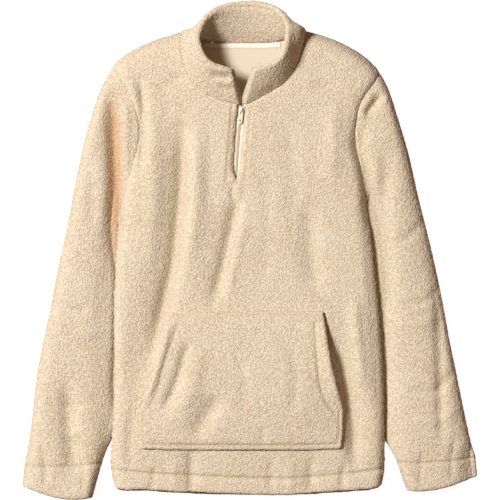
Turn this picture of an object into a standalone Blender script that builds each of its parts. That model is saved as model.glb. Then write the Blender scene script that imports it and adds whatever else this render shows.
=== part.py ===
"""A quarter-zip pullover in curly-pile fleece, laid flat on its back with the collar open.

Plan sizes are millimetres from the middle of the garment, X to the viewer's right and Y towards the collar.
Heights are millimetres above the surface that it lies on. The wearer's right side is at the viewer's left.
"""

import math
from dataclasses import dataclass

import bmesh
import bpy
import numpy as np
from mathutils import Vector
from mathutils.bvhtree import BVHTree

MM = 0.001

# Cloth
FLEECE = 5.0
HEM_WALL = 7.5
COLLAR_WALL = 8.0
TAPE_WALL = 1.0
SEAM_GAP = 0.3
HEM_DEPTH = 25.0
STITCH_GROOVE = 1.4

# Heights of the body
CROWN = 31.0
HEM_CROWN = 22.5
FRONT_RIM = 5.3
BACK_RIM = 5.0
SIDE_ROLL = 15.0
SHOULDER_ROLL = 26.0
UNDER_ROLL = 6.0
ARMHOLE_SHARE = 0.7

# Sleeves, which are tucked under the body's sides
SLEEVE_RIM = 5.15
SLEEVE_CREST = 25.5
TUCKED_HEIGHT = 12.0
CUFF_DROOP = 0.06
LEAST_HOLLOW = 0.6
TUCK_LIFT = 13.4
TUCK_MARGIN = 12.0
TUCK_RAMP = 26.0
VALLEY_WIDTH = 26.0

# Spacing of the mesh
ROLL_STEPS = (0.0, 1.3, 5.0, 11.0, 20.0)
END_STEPS = (22.0, 10.0, 3.0, 0.0)
HEM_STEPS = (38.0, 28.0, 25.0, 22.0, 4.0, 0.0)
ARMHOLE_SPANS = 5
SIDE_SPANS = 7
NECK_SPANS = 5
ZIP_SPANS = 4
PANEL_SPANS = 10
BACK_STEPS = (0.0, 1.3, 5.0, 11.0, 24.0, 38.0, 52.0, 66.0, 80.0, 98.0, 128.0)
BACK_SHOULDER_SPANS = 3
BACK_NECK_SPANS = 8
BACK_NECK_STEP = 6.0

# Zip
ZIP_HALF_OPENING = 4.6
TAPE_REACH = 9.0
TAPE_PROUD = 3.4
TAPE_DROP = 1.3
TAPE_INNER = 1.4
TAPE_OFF = 0.9
NECK_TAPE_WIDTH = 7.0
NECK_TAPE_DROP = 1.6
NECK_TAPE_SPANS = 10
NECK_TAPE_FROM = 0.2
NECK_TAPE_TO = 0.78

# Colours, as linear red, green and blue
CREAM = (0.80, 0.68, 0.52)
TAPE_CREAM = (0.84, 0.74, 0.62)
PALE_METAL = (0.70, 0.64, 0.54)


@dataclass(frozen=True)
class Fold:
    """One soft trough (negative depth) or ridge in a panel, along a plan curve."""

    depth: float
    half_width: float
    path: tuple


@dataclass(frozen=True)
class Half:
    """The plan curves of one side of the garment: its seams, its sleeve's folded edges and its folds."""

    name: str
    outward: float
    shoulder: tuple
    armhole: tuple
    side_seam: tuple
    neck: tuple
    hem: tuple
    sleeve: tuple
    outer_roll: float
    cuff_bow: float
    sleeve_folds: tuple


ZIP_LINE = ((-13, 232), (-16, 199), (-20, 150), (-22, 116))
CENTRE_LINE = ((-23, 106), (-20, 40), (-12, -150), (-5, -389))

VIEWER_LEFT = Half(
    name="wearer_right",
    outward=-1.0,
    shoulder=((-218, 294), (-212, 303), (-188, 319), (-154, 335), (-132, 342), (-110, 349)),
    armhole=((-218, 294), (-198, 258), (-180, 231), (-175, 199), (-181, 151), (-196, 103), (-210, 55)),
    side_seam=(
        (-210, 55),
        (-212, 0),
        (-214, -81),
        (-215, -161),
        (-215, -241),
        (-219, -305),
        (-222, -345),
        (-217, -376),
    ),
    neck=((-110, 349), (-110, 319), (-103, 287), (-90, 265), (-71, 247), (-47, 238), (-18, 232)),
    hem=((-217, -376), (-207, -382), (-159, -382), (-127, -385), (-63, -387), (-5, -389)),
    # outer fold x, y, then under-arm fold x, y
    sleeve=(
        (-238, 262, -211.6, 49),
        (-250, 223, -212.0, 42),
        (-262, 186, -212.6, 35),
        (-271, 143, -213.0, 28),
        (-281, 95, -211, 19),
        (-290, 47, -199, 8),
        (-300, -1, -180, -10),
        (-310, -46, -166, -41),
        (-319, -97, -161, -84),
        (-330, -146, -164, -134),
        (-340, -194, -174, -182),
        (-345, -242, -190, -230),
        (-350, -286, -207, -271),
        (-355, -321, -225, -307),
    ),
    outer_roll=22.0,
    cuff_bow=9.0,
    sleeve_folds=(
        Fold(-9.0, 9, ((-217, 255), (-216, 175), (-214, 100), (-213, 40))),
        Fold(-5.0, 13, ((-290, -205), (-287, -314), (-279, -370))),
    ),
)

VIEWER_RIGHT = Half(
    name="wearer_left",
    outward=1.0,
    shoulder=((207, 284), (204, 288), (190, 303), (169, 319), (138, 335), (115, 343), (90, 350)),
    armhole=((207, 284), (192, 258), (174, 238), (167, 207), (169, 170), (177, 132), (186, 71)),
    side_seam=(
        (186, 71),
        (192, 20),
        (197, -30),
        (206, -122),
        (211, -206),
        (214, -302),
        (214, -357),
        (210, -375),
    ),
    neck=((90, 350), (84, 327), (78, 302), (69, 281), (49, 260), (26, 246), (5, 238), (-8, 232)),
    hem=((210, -375), (202, -379), (177, -382), (145, -384), (97, -387), (65, -390), (30, -390), (-5, -389)),
    sleeve=(
        (223, 255, 188.0, 65),
        (233, 218, 189.4, 57),
        (243, 188, 190.6, 49),
        (255, 148, 191.2, 41),
        (265, 98, 190.6, 31),
        (276, 55, 180, 20),
        (289, 4, 161, -1),
        (300, -46, 146, -30),
        (310, -94, 142, -74),
        (318, -145, 146, -126),
        (329, -193, 158, -175),
        (338, -241, 176, -225),
        (347, -282, 195, -266),
        (354, -316, 214, -300),
    ),
    outer_roll=40.0,
    cuff_bow=7.0,
    sleeve_folds=(),
)

# Turned-up cuff: outer fold x, y, then under-arm fold x, y, at the stitching and at the edge
CUFFS = {
    "wearer_right": ((-360, -345, -238, -340), (-364, -377, -253, -395)),
    "wearer_left": ((360, -332, 236, -340), (363, -361, 251, -384)),
}

BACK_NECK = ((-110, 349), (-79, 335), (-47, 333), (-14, 333), (25, 333), (54, 336), (90, 350))

FRONT_FOLDS = (
    Fold(-8.0, 15, ((-124, 231), (-124, 94), (-145, -52), (-172, -175), (-184, -240))),
    Fold(2.0, 14, ((-168, 150), (-166, 60), (-176, -60))),
    Fold(2.5, 16, ((-88, 200), (-84, 100), (-98, -30))),
    Fold(-5.0, 11, ((-29, 86), (-44, 23), (-60, -33), (-72, -84))),
    Fold(2.5, 15, ((137, 223), (131, 150), (129, 90))),
    Fold(-2.5, 18, ((84, 60), (98, -20), (112, -70))),
    Fold(-6.0, 11, ((150, -120), (166, -225), (172, -270), (166, -345))),
    Fold(3.0, 10, ((168, -80), (181, -180), (188, -240))),
    Fold(-3.5, 11, ((-94, -330), (-94, -392))),
    Fold(-2.5, 8, ((100, -330), (98, -392))),
)

# Collar: share of the way round the neck seam, top edge x, y, height, and how far the wall swells outwards
COLLAR_TOP = (
    (0.000, -30, 285, 64, 3),
    (0.070, -50, 290, 66, 4),
    (0.140, -66, 296, 68, 5),
    (0.205, -75, 307, 69, 6),
    (0.270, -81, 322, 70, 9),
    (0.330, -84, 340, 68, 14),
    (0.385, -80, 360, 60, 20),
    (0.430, -72, 377, 48, 24),
    (0.475, -53, 393, 35, 14),
    (0.540, -6, 401, 27, 4),
    (0.590, 32, 397, 34, 12),
    (0.630, 52, 384, 46, 18),
    (0.665, 60, 367, 58, 18),
    (0.700, 61, 349, 66, 14),
    (0.750, 58, 328, 69, 9),
    (0.805, 55, 311, 70, 7),
    (0.865, 47, 299, 69, 5),
    (0.930, 30, 291, 67, 4),
    (1.000, 7, 287, 64, 3),
)
COLLAR_RISE = (0.0, 0.2, 0.4, 0.6, 0.8, 0.94, 1.0)
COLLAR_GAP = 0.9
HEEL = 4.5
NECK_MIDDLE = np.array([-12.0, 318.0])

POCKET_TOP = ((-124, -102), (-60, -101), (40, -99), (116, -99))
POCKET_LEFT = (
    (-124, -102),
    (-136, -138),
    (-148, -188),
    (-163, -228),
    (-173, -252),
    (-175, -285),
    (-172, -316),
)
POCKET_RIGHT = (
    (116, -99),
    (121, -138),
    (128, -178),
    (138, -220),
    (147, -250),
    (147, -286),
    (144, -316),
)
POCKET_BOTTOM = ((-172, -316), (-90, -317), (60, -317), (144, -316))
POCKET_GAP = 0.6
POCKET_BULGE = 8.5
POCKET_LIFT = {"left": 6.4, "right": 7.6}
POCKET_OPEN_TO = 0.68
POCKET_ROWS = (0.0, 0.03, 0.1, 0.2, 0.3, 0.4, 0.5, 0.6, 0.68, 0.76, 0.85, 0.93, 0.98, 1.0)
POCKET_COLUMNS = (0.0, 0.03, 0.09, 0.17, 0.26, 0.36, 0.47, 0.58, 0.69, 0.8, 0.9, 0.97, 1.0)
POCKET_FOLDS = (
    Fold(-3.5, 7, ((-102, -154), (-124, -215), (-151, -275))),
    Fold(-4.0, 12, ((-55, -233), (-75, -262), (-94, -294))),
)

# Zip slider and pull tab
SLIDER_WIDTH = 8.0
SLIDER_LENGTH = 12.0
SLIDER_PLATE = 1.2
SLIDER_CHANNEL = 2.4
POST_WIDTH = 1.4
BRIDGE_WIDTH = 2.2
BRIDGE_LENGTH = 6.4
BRIDGE_BAR = 1.2
BRIDGE_HOLE = 2.4
PULL_WIDTH = 6.6
PULL_LENGTH = 21.0
PULL_WALL = 1.4
PULL_WINDOW = 3.4
PULL_WINDOW_LENGTH = 5.2
PULL_HOLE_RADIUS = 1.3
SLIDER_Y = 223.0


def ease(share: float) -> float:
    """A share from 0 to 1 with soft ends."""
    share = min(max(share, 0.0), 1.0)
    return share * share * (3.0 - 2.0 * share)


def roll(distance: float, width: float) -> float:
    """How high a rounded edge stands, from 0 at the edge to 1 at its width."""
    if distance >= width:
        return 1.0
    return math.sqrt(max(0.0, 1.0 - (1.0 - distance / width) ** 2))


def unit(vector):
    """The vector at length 1."""
    return vector / max(float(np.linalg.norm(vector)), 1e-9)


class Path:
    """A smooth curve through a table's points, read by distance along it."""

    STEPS = 10

    def __init__(self, points):
        rows = np.array(points, float)
        ends = np.vstack([2 * rows[0] - rows[1], rows, 2 * rows[-1] - rows[-2]])
        fine = []
        for before, start, end, after in zip(ends, ends[1:], ends[2:], ends[3:]):
            for step in range(self.STEPS):
                t = step / self.STEPS
                fine.append(
                    0.5
                    * (
                        2 * start
                        + (end - before) * t
                        + (2 * before - 5 * start + 4 * end - after) * t * t
                        + (3 * start - before - 3 * end + after) * t**3
                    )
                )
        fine.append(rows[-1])
        self.points = np.array(fine)
        spans = np.linalg.norm(np.diff(self.points, axis=0), axis=1)
        self.reach = np.concatenate([[0.0], np.cumsum(spans)])
        self.length = float(self.reach[-1])

    def at(self, distance: float):
        """The point this far along."""
        return np.array([np.interp(distance, self.reach, column) for column in self.points.T])

    def direction(self, distance: float):
        """The unit tangent this far along."""
        return unit(self.at(min(distance + 1.0, self.length)) - self.at(max(distance - 1.0, 0.0)))

    def nearest(self, point):
        """The gap to the curve in plan, and how far along its nearest point is."""
        starts = self.points[:-1, :2]
        spans = self.points[1:, :2] - starts
        offset = np.asarray(point, float)[:2] - starts
        share = np.clip((offset * spans).sum(1) / (spans**2).sum(1), 0.0, 1.0)
        gaps = np.linalg.norm(offset - spans * share[:, None], axis=1)
        best = int(np.argmin(gaps))
        along = self.reach[best] + share[best] * (self.reach[best + 1] - self.reach[best])
        return float(gaps[best]), float(along)


def relief(folds, paths, point) -> float:
    """The sum of the folds' depths at a plan point, each fading over its last quarter."""
    total = 0.0
    for fold, path in zip(folds, paths):
        gap, along = path.nearest(point)
        if gap > 3.0 * fold.half_width:
            continue
        fade = ease(min(along, path.length - along) / (0.22 * path.length) + 0.25)
        total += fold.depth * fade * math.exp(-((gap / fold.half_width) ** 2))
    return total


def stations(length: float, starts, ends, spans: int):
    """Distances along an edge: close together at both ends, even between them."""
    first = starts[-1]
    last = length - ends[0]
    middle = [first + (last - first) * step / spans for step in range(1, spans)]
    return [*starts, *middle, *(length - end for end in ends)]


class Side:
    """One side's curves, with the heights that belong to it."""

    def __init__(self, half: Half):
        self.half = half
        self.shoulder = Path(half.shoulder)
        self.armhole = Path(half.armhole)
        self.side_seam = Path(half.side_seam)
        self.neck = Path(half.neck)
        self.hem = Path(half.hem)
        self.tuck = Path([(row[2], row[3]) for row in half.sleeve[5:14]])
        self.fold_paths = [Path(fold.path) for fold in half.sleeve_folds]

    def lift(self, point) -> float:
        """How far the tucked sleeve raises the body at a plan point."""
        x, y = point[0], point[1]
        line = self.tuck.points
        if line[-1][1] < y < line[0][1]:
            fold_x = float(np.interp(y, line[::-1, 1], line[::-1, 0]))
            if (x - fold_x) * self.half.outward > 0:
                return TUCK_LIFT
        return TUCK_LIFT * ease(1.0 - (self.tuck.nearest(point)[0] - TUCK_MARGIN) / TUCK_RAMP)

    def outside_body(self, point) -> float:
        """How far a plan point of the sleeve is beyond the body's side seam."""
        seam = self.side_seam.points
        y = min(max(point[1], seam[-1][1]), seam[0][1])
        seam_x = float(np.interp(y, seam[::-1, 1], seam[::-1, 0]))
        across = max(0.0, (point[0] - seam_x) * self.half.outward - 7.0)
        return math.hypot(across, max(0.0, point[1] - seam[0][1]))

    def sleeve_full(self, point) -> float:
        """The height of the sleeve's upper layer away from its folded edges."""
        crest = SLEEVE_CREST + relief(self.half.sleeve_folds, self.fold_paths, point)
        share = ease(self.outside_body(point) / VALLEY_WIDTH)
        return TUCKED_HEIGHT + (crest - TUCKED_HEIGHT) * share


LEFT = Side(VIEWER_LEFT)
RIGHT = Side(VIEWER_RIGHT)
FRONT_PATHS = [Path(fold.path) for fold in FRONT_FOLDS]
POCKET_PATHS = [Path(fold.path) for fold in POCKET_FOLDS]


def body_lift(point) -> float:
    """How far the sleeves raise the body at a plan point."""
    return max(LEFT.lift(point), RIGHT.lift(point))


def front_height(point, side: Side) -> float:
    """The height of the front's outer face, measured against one side's seams."""
    rim = FRONT_RIM + body_lift(point)
    hem_gap = side.hem.nearest(point)[0]
    full = HEM_CROWN + (CROWN - HEM_CROWN) * ease(hem_gap / 110.0)
    full += relief(FRONT_FOLDS, FRONT_PATHS, point)
    full = max(full, rim + FLEECE + 1.4)
    arm_gap, arm_along = side.armhole.nearest(point)
    seat = ARMHOLE_SHARE * roll(side.armhole.length - arm_along, 34.0)
    at_armhole = seat + (1.0 - seat) * roll(arm_gap, SIDE_ROLL)
    at_side = roll(side.side_seam.nearest(point)[0], SIDE_ROLL)
    at_shoulder = roll(side.shoulder.nearest(point)[0], SHOULDER_ROLL)
    rise = min(at_armhole, at_side) * at_shoulder
    groove = STITCH_GROOVE * math.exp(-(((hem_gap - HEM_DEPTH) / 1.6) ** 2))
    return rim + (full - rim - groove) * rise


def grid_faces(rows: int, columns: int, first: int = 0):
    """Quads of a grid, facing up when its rows run away from the viewer and its columns to the right."""
    faces = []
    for row in range(rows - 1):
        for column in range(columns - 1):
            corner = first + row * columns + column
            faces.append((corner, corner + columns, corner + columns + 1, corner + 1))
    return faces


def point_normals(points, faces):
    """The mean direction that the faces round each point look in."""
    normals = np.zeros_like(points)
    for face in faces:
        corners = points[list(face)]
        normal = np.cross(corners[2] - corners[0], corners[3] - corners[1])
        for corner in face:
            normals[corner] += normal
    lengths = np.linalg.norm(normals, axis=1, keepdims=True)
    return normals / np.maximum(lengths, 1e-9)


def material(name: str, colour, roughness: float, metallic: float = 0.0):
    """One Principled material."""
    made = bpy.data.materials.new(name)
    made.use_nodes = True
    shader = made.node_tree.nodes["Principled BSDF"]
    shader.inputs["Base Color"].default_value = (*colour, 1.0)
    shader.inputs["Roughness"].default_value = roughness
    shader.inputs["Metallic"].default_value = metallic
    made.diffuse_color = (*colour, 1.0)
    return made


def add_object(name: str, points, faces, colour=CREAM, roughness: float = 0.95, metallic: float = 0.0):
    """Adds one closed mesh, given in millimetres, with its faces turned outwards."""
    mesh = bpy.data.meshes.new(name)
    mesh.from_pydata([tuple(np.asarray(point, float) * MM) for point in points], [], faces)
    shape = bmesh.new()
    shape.from_mesh(mesh)
    bmesh.ops.recalc_face_normals(shape, faces=shape.faces)
    if shape.calc_volume(signed=True) < 0:
        bmesh.ops.reverse_faces(shape, faces=shape.faces)
    shape.to_mesh(mesh)
    shape.free()
    for polygon in mesh.polygons:
        polygon.use_smooth = True
    made = bpy.data.objects.new(name, mesh)
    bpy.context.scene.collection.objects.link(made)
    mesh.materials.append(material(name + "_finish", colour, roughness, metallic))
    return made


def walled(name: str, outer, inner, faces, **finish):
    """A wall between two sheets of points: both sheets, and a rim along every open edge."""
    count = len(outer)
    every = [tuple(face) for face in faces]
    directed = {}
    for face in every:
        for start, end in zip(face, face[1:] + face[:1]):
            directed[(start, end)] = True
    rims = [
        (end, start, start + count, end + count)
        for start, end in directed
        if (end, start) not in directed
    ]
    inside = [tuple(corner + count for corner in reversed(face)) for face in every]
    return add_object(name, [*outer, *inner], every + inside + rims, **finish)


def seat_on_edge(outer, normals, ring, folded):
    """Sets the wall's direction along an edge: upright over a cut edge, level on a folded one.

    Args:
        outer: the sheet's points.
        normals: their directions, changed in place.
        ring: indices of the points along one cut edge, in order.
        folded: the indices in it where the edge meets a fold, so the wall is level.
    """
    for place, index in enumerate(ring):
        before = outer[ring[max(place - 1, 0)]]
        after = outer[ring[min(place + 1, len(ring) - 1)]]
        tangent = unit(after - before)
        if index in folded:
            level = unit(np.array([*(after - before)[:2], 0.0]))
            normals[index] = -level if place == 0 else level
            continue
        up = np.array([0.0, 0.0, 1.0])
        normals[index] = unit(up - tangent * float(tangent @ up))


ARMHOLE_ROWS = {
    side.half.name: stations(side.armhole.length, ROLL_STEPS, END_STEPS, ARMHOLE_SPANS)
    for side in (LEFT, RIGHT)
}
TOP_ROWS = len(ROLL_STEPS) + len(END_STEPS) + ARMHOLE_SPANS - 1
NECK_ROWS = len(ROLL_STEPS) + NECK_SPANS


def side_rows(side: Side):
    """Plan points down one side of the body: the armhole, then the side seam to the hem."""
    down = stations(side.side_seam.length, (0.0, 9.0, 20.0, 34.0, 52.0), HEM_STEPS, SIDE_SPANS)
    upper = [side.armhole.at(distance) for distance in ARMHOLE_ROWS[side.half.name]]
    return np.array(upper + [side.side_seam.at(distance) for distance in down[1:]])


def neck_rows(side: Side):
    """Plan points down one side of the neck, from the shoulder to the zip."""
    even = [
        ROLL_STEPS[-1] + (side.neck.length - ROLL_STEPS[-1]) * step / NECK_SPANS
        for step in range(1, NECK_SPANS + 1)
    ]
    return [side.neck.at(distance) for distance in (*ROLL_STEPS, *even)]


def centre_rows(side: Side, total: int):
    """Plan points down the middle: the neck, one edge of the zip opening, then the shared centre line."""
    rows = neck_rows(side)
    opening = Path(ZIP_LINE)
    for step in range(1, ZIP_SPANS + 1):
        middle = opening.at(opening.length * step / ZIP_SPANS)
        rows.append(middle + np.array([side.half.outward * ZIP_HALF_OPENING, 0.0]))
    centre = Path(CENTRE_LINE)
    left = total - len(rows) - len(HEM_STEPS)
    even = [(centre.length - HEM_STEPS[0]) * step / left for step in range(left)]
    even += [centre.length - distance for distance in HEM_STEPS]
    rows += [centre.at(distance) for distance in even]
    return np.array(rows)


def coons(start, end, top, bottom, shares, depth):
    """Plan points of one row of a patch between four edges.

    Args:
        start: the row's point on the first edge.
        end: its point on the far edge.
        top: Path of the top edge, or bottom edge as bottom, both from the first edge to the far one.
        shares: shares of the way across.
        depth: the row's share of the way down.
    """
    corners = (top.at(0.0), top.at(top.length), bottom.at(0.0), bottom.at(bottom.length))
    row = []
    for share in shares:
        straight = (1 - share) * start + share * end
        upper = top.at(top.length * share) - ((1 - share) * corners[0] + share * corners[1])
        lower = bottom.at(bottom.length * share) - ((1 - share) * corners[2] + share * corners[3])
        fade_up = (1 - depth) ** 3
        fade_down = depth**3
        row.append(straight + fade_up * upper + fade_down * lower)
    return row


def half_front_plan(side: Side):
    """Plan points of half of the front, rows from shoulder to hem, columns from side seam to middle."""
    edge = side_rows(side)
    middle = centre_rows(side, len(edge))
    plan = []
    for row, (start, end) in enumerate(zip(edge, middle)):
        width = float(np.linalg.norm(end - start))
        across = stations(width, ROLL_STEPS, (9.0, 0.0), PANEL_SPANS)
        depth = row / (len(edge) - 1)
        plan.append(coons(start, end, side.shoulder, side.hem, [a / width for a in across], depth))
    return np.array(plan)


def wall_at(point, normal_wall: float, side: Side) -> float:
    """The cloth's thickness, doubled up where the hem is turned."""
    gap = side.hem.nearest(point)[0]
    return normal_wall + (HEM_WALL - normal_wall) * ease((HEM_DEPTH + 2.0 - gap) / 3.0)


def make_front():
    """The front: two halves that share the centre line below the zip opening."""
    plans = {side.half.name: half_front_plan(side) for side in (LEFT, RIGHT)}
    rows, columns = plans["wearer_right"].shape[:2]
    closed_from = NECK_ROWS + ZIP_SPANS
    points = []
    names = {}
    for side in (LEFT, RIGHT):
        plan = plans[side.half.name]
        for row in range(rows):
            for column in range(columns):
                key = (side.half.name, row, column)
                shared = ("wearer_right", row, column)
                if side is RIGHT and column == columns - 1 and row >= closed_from:
                    names[key] = names[shared]
                    continue
                names[key] = len(points)
                place = plan[row][column]
                points.append((*place, front_height(place, side)))
    outer = np.array(points)
    faces = []
    for side in (LEFT, RIGHT):
        for row in range(rows - 1):
            for column in range(columns - 1):
                ring = [
                    names[(side.half.name, row + down, column + across)]
                    for down, across in ((0, 0), (1, 0), (1, 1), (0, 1))
                ]
                faces.append(tuple(ring if side is LEFT else reversed(ring)))
    normals = point_normals(outer, faces)
    walls = np.array([min(wall_at(p, FLEECE, LEFT), wall_at(p, FLEECE, RIGHT)) for p in outer])
    last = columns - 1
    for side in (LEFT, RIGHT):
        name = side.half.name
        for row in range(TOP_ROWS - 1, rows):
            away = side.side_seam.direction(side.side_seam.nearest(outer[names[(name, row, 0)]])[1])
            normals[names[(name, row, 0)]] = (away[1] * -side.half.outward, away[0] * side.half.outward, 0.0)
        for column in range(columns):
            index = names[(name, 0, column)]
            away = side.shoulder.direction(side.shoulder.nearest(outer[index])[1])
            normals[index] = (away[1] * side.half.outward, -away[0] * side.half.outward, 0.0)
        armhole = [names[(name, row, 0)] for row in range(TOP_ROWS)]
        neck = [names[(name, row, last)] for row in range(closed_from)]
        hem = [names[(name, rows - 1, column)] for column in range(columns)]
        seat_on_edge(outer, normals, armhole, {armhole[0], armhole[-1]})
        seat_on_edge(outer, normals, neck, {neck[0]})
        seat_on_edge(outer, normals, hem, {hem[0]})
    inner = outer - normals * walls[:, None]
    made = walled("front", outer, inner, faces)
    edges = {
        side.half.name: [
            (outer[names[(side.half.name, row, last)]], inner[names[(side.half.name, row, last)]])
            for row in range(closed_from + 1)
        ]
        for side in (LEFT, RIGHT)
    }
    armholes = {
        side.half.name: [outer[names[(side.half.name, row, 0)]] for row in range(TOP_ROWS)]
        for side in (LEFT, RIGHT)
    }
    return made, edges, armholes


def shoulder_stations(side: Side):
    """Distances along a shoulder where the back's columns start."""
    return stations(side.shoulder.length, ROLL_STEPS[:4], (0.0,), BACK_SHOULDER_SPANS)


def make_back():
    """The back: a slab whose lower edge is rounded at the sides and shoulders."""
    left_edge = side_rows(LEFT)
    right_edge = side_rows(RIGHT)
    neck = Path(BACK_NECK)
    top = [LEFT.shoulder.at(distance) for distance in shoulder_stations(LEFT)]
    neck_steps = stations(neck.length, (0.0, BACK_NECK_STEP), (BACK_NECK_STEP, 0.0), BACK_NECK_SPANS)
    top += [neck.at(distance) for distance in neck_steps[1:-1]]
    top += [RIGHT.shoulder.at(distance) for distance in reversed(shoulder_stations(RIGHT))]
    top = np.array(top)
    reach = np.concatenate([[0.0], np.cumsum(np.linalg.norm(np.diff(top, axis=0), axis=1))])
    top_shares = reach / reach[-1]
    hem = Path((*VIEWER_LEFT.hem[:-1], *reversed(VIEWER_RIGHT.hem)))
    rows = len(left_edge)
    plan = []
    for row, (start, end) in enumerate(zip(left_edge, right_edge)):
        depth = row / (rows - 1)
        width = float(np.linalg.norm(end - start))
        near = [step / width for step in BACK_STEPS]
        low_shares = np.array([*near, 0.5, *(1.0 - share for share in reversed(near))])
        settled = min(1.0, row / (TOP_ROWS - 3))
        line = []
        for share in top_shares + (low_shares - top_shares) * settled:
            straight = (1 - share) * start + share * end
            on_top = np.array([np.interp(share, top_shares, column) for column in top.T])
            upper = on_top - ((1 - share) * top[0] + share * top[-1])
            lower = hem.at(hem.length * share)
            lower = lower - ((1 - share) * hem.at(0.0) + share * hem.at(hem.length))
            line.append(straight + (1 - depth) ** 3 * upper + depth**3 * lower)
        plan.append(line)
    plan = np.array(plan)
    columns = plan.shape[1]
    folds = [LEFT.shoulder, RIGHT.shoulder, LEFT.side_seam, RIGHT.side_seam]
    outer = []
    inner = []
    left_corner = np.array([1.0, 0.0]) - LEFT.armhole.direction(LEFT.armhole.length)
    right_corner = np.array([-1.0, 0.0]) - RIGHT.armhole.direction(RIGHT.armhole.length)
    cut_ends = {
        (0, 0): LEFT.armhole.direction(0.0),
        (0, columns - 1): RIGHT.armhole.direction(0.0),
        (TOP_ROWS - 1, 0): 0.6 * unit(left_corner),
        (TOP_ROWS - 1, columns - 1): 0.6 * unit(right_corner),
        (rows - 1, 0): LEFT.hem.direction(0.0),
        (rows - 1, columns - 1): RIGHT.hem.direction(0.0),
    }
    for row in range(rows):
        for column in range(columns):
            place = plan[row][column]
            near = [path.nearest(place) for path in folds]
            best = int(np.argmin([gap for gap, _ in near]))
            gap, along = near[best]
            lift = body_lift(place)
            height = lift + BACK_RIM * (1.0 - roll(gap, UNDER_ROLL))
            hem_gap = min(LEFT.hem.nearest(place)[0], RIGHT.hem.nearest(place)[0])
            outer.append((*place, height))
            shift = max(0.0, FLEECE * (1.0 - gap / UNDER_ROLL))
            if (row, column) in cut_ends:
                inward = cut_ends[(row, column)]
            elif column == 0 and row < TOP_ROWS:
                inward = LEFT.armhole.direction(ARMHOLE_ROWS["wearer_right"][row])
                inward = inward if row < TOP_ROWS / 2 else -inward
            elif column == columns - 1 and row < TOP_ROWS:
                inward = RIGHT.armhole.direction(ARMHOLE_ROWS["wearer_left"][row])
                inward = inward if row < TOP_ROWS / 2 else -inward
            elif row == rows - 1:
                inward = np.array([1.0 if column < columns / 2 else -1.0, 0.0])
            elif gap > 0.05:
                inward = unit(place - folds[best].at(along)[:2])
            else:
                run = folds[best].direction(along)
                inward = np.array([-run[1], run[0]])
                if inward @ (np.array([0.0, 0.0]) - place) < 0:
                    inward = -inward
            moved = place + inward * shift
            thick = FLEECE + (HEM_WALL - FLEECE) * ease((HEM_DEPTH + 2.0 - hem_gap) / 3.0)
            if gap < UNDER_ROLL:
                thick = FLEECE
            inner.append((*moved, body_lift(place) + thick))
    faces = [tuple(reversed(face)) for face in grid_faces(rows, columns)]
    return walled("back", np.array(outer), np.array(inner), faces)


def sleeve_rings(side: Side, armhole_points):
    """For each ring of a sleeve: plan points from outer fold to under-arm fold, its wall and its groove."""
    rings = []
    outward = np.array([side.half.outward, 0.0])
    edge = [point[:2] for point in armhole_points]
    start = edge[0]
    end = edge[-1]
    shares = [a / side.armhole.length for a in ARMHOLE_ROWS[side.half.name]]
    bend = [p - ((1 - s) * start + s * end) for p, s in zip(edge, shares)]
    first = []
    for place, share in zip(edge, shares):
        run = side.armhole.direction(share * side.armhole.length)
        away = np.array([-run[1], run[0]])
        away = away if away @ outward > 0 else -away
        first.append(place + away * SEAM_GAP)
    rings.append((np.array(first), FLEECE, 0.0))
    for number, (x0, y0, x1, y1) in enumerate(side.half.sleeve, start=1):
        start = np.array([x0, y0], float)
        end = np.array([x1, y1], float)
        length = float(np.linalg.norm(end - start))
        keep = max(0.0, 1.0 - number / 6.0) ** 1.4
        spots = []
        even = [a / length for a in stations(length, ROLL_STEPS, END_STEPS, ARMHOLE_SPANS)]
        for share, at_armhole, off in zip(even, shares, bend):
            share = share + (at_armhole - share) * keep
            spots.append((1 - share) * start + share * end + off * keep)
        rings.append((np.array(spots), FLEECE, 0.0))
    stitched, hem = CUFFS[side.half.name]
    band = (
        (-0.22, FLEECE, 0.0, 0.3),
        (-0.04, FLEECE, STITCH_GROOVE, 0.45),
        (0.06, HEM_WALL, 0.3, 0.55),
        (0.9, HEM_WALL, 0.0, 0.95),
        (1.0, HEM_WALL - 1.5, 1.2, 1.0),
    )
    for share, wall, groove, bow_share in band:
        row = [a + (b - a) * share for a, b in zip(stitched, hem)]
        start = np.array(row[:2])
        end = np.array(row[2:])
        length = float(np.linalg.norm(end - start))
        down = unit(np.array(hem[:2], float) - np.array(stitched[:2], float))
        spots = []
        for a in stations(length, ROLL_STEPS, END_STEPS, ARMHOLE_SPANS):
            across = a / length
            bow = side.half.cuff_bow * bow_share * math.sin(math.pi * across**1.2)
            spots.append((1 - across) * start + across * end + down * bow)
        rings.append((np.array(spots), wall, groove))
    return rings


def hollow_of(reach, tops, unders, wall: float):
    """The inner face of a flattened tube as (along, height) points, a wall in from layers and folds."""
    length = float(reach[-1])
    upper = []
    lower = []
    for along in reach:
        near = min(along, length - along)
        shift = wall * max(0.0, 1.0 - near / (2.2 * wall))
        place = along + shift if along < length / 2 else along - shift
        above = float(np.interp(place, reach, tops)) - wall
        below = float(np.interp(place, reach, unders)) + wall
        middle = (above + below) / 2
        half_gap = max(above - below, LEAST_HOLLOW) / 2 if near > 0.01 else 0.0
        upper.append(np.array([place, middle + half_gap]))
        lower.append(np.array([place, middle - half_gap]))
    return upper + lower[-2:0:-1]


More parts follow.
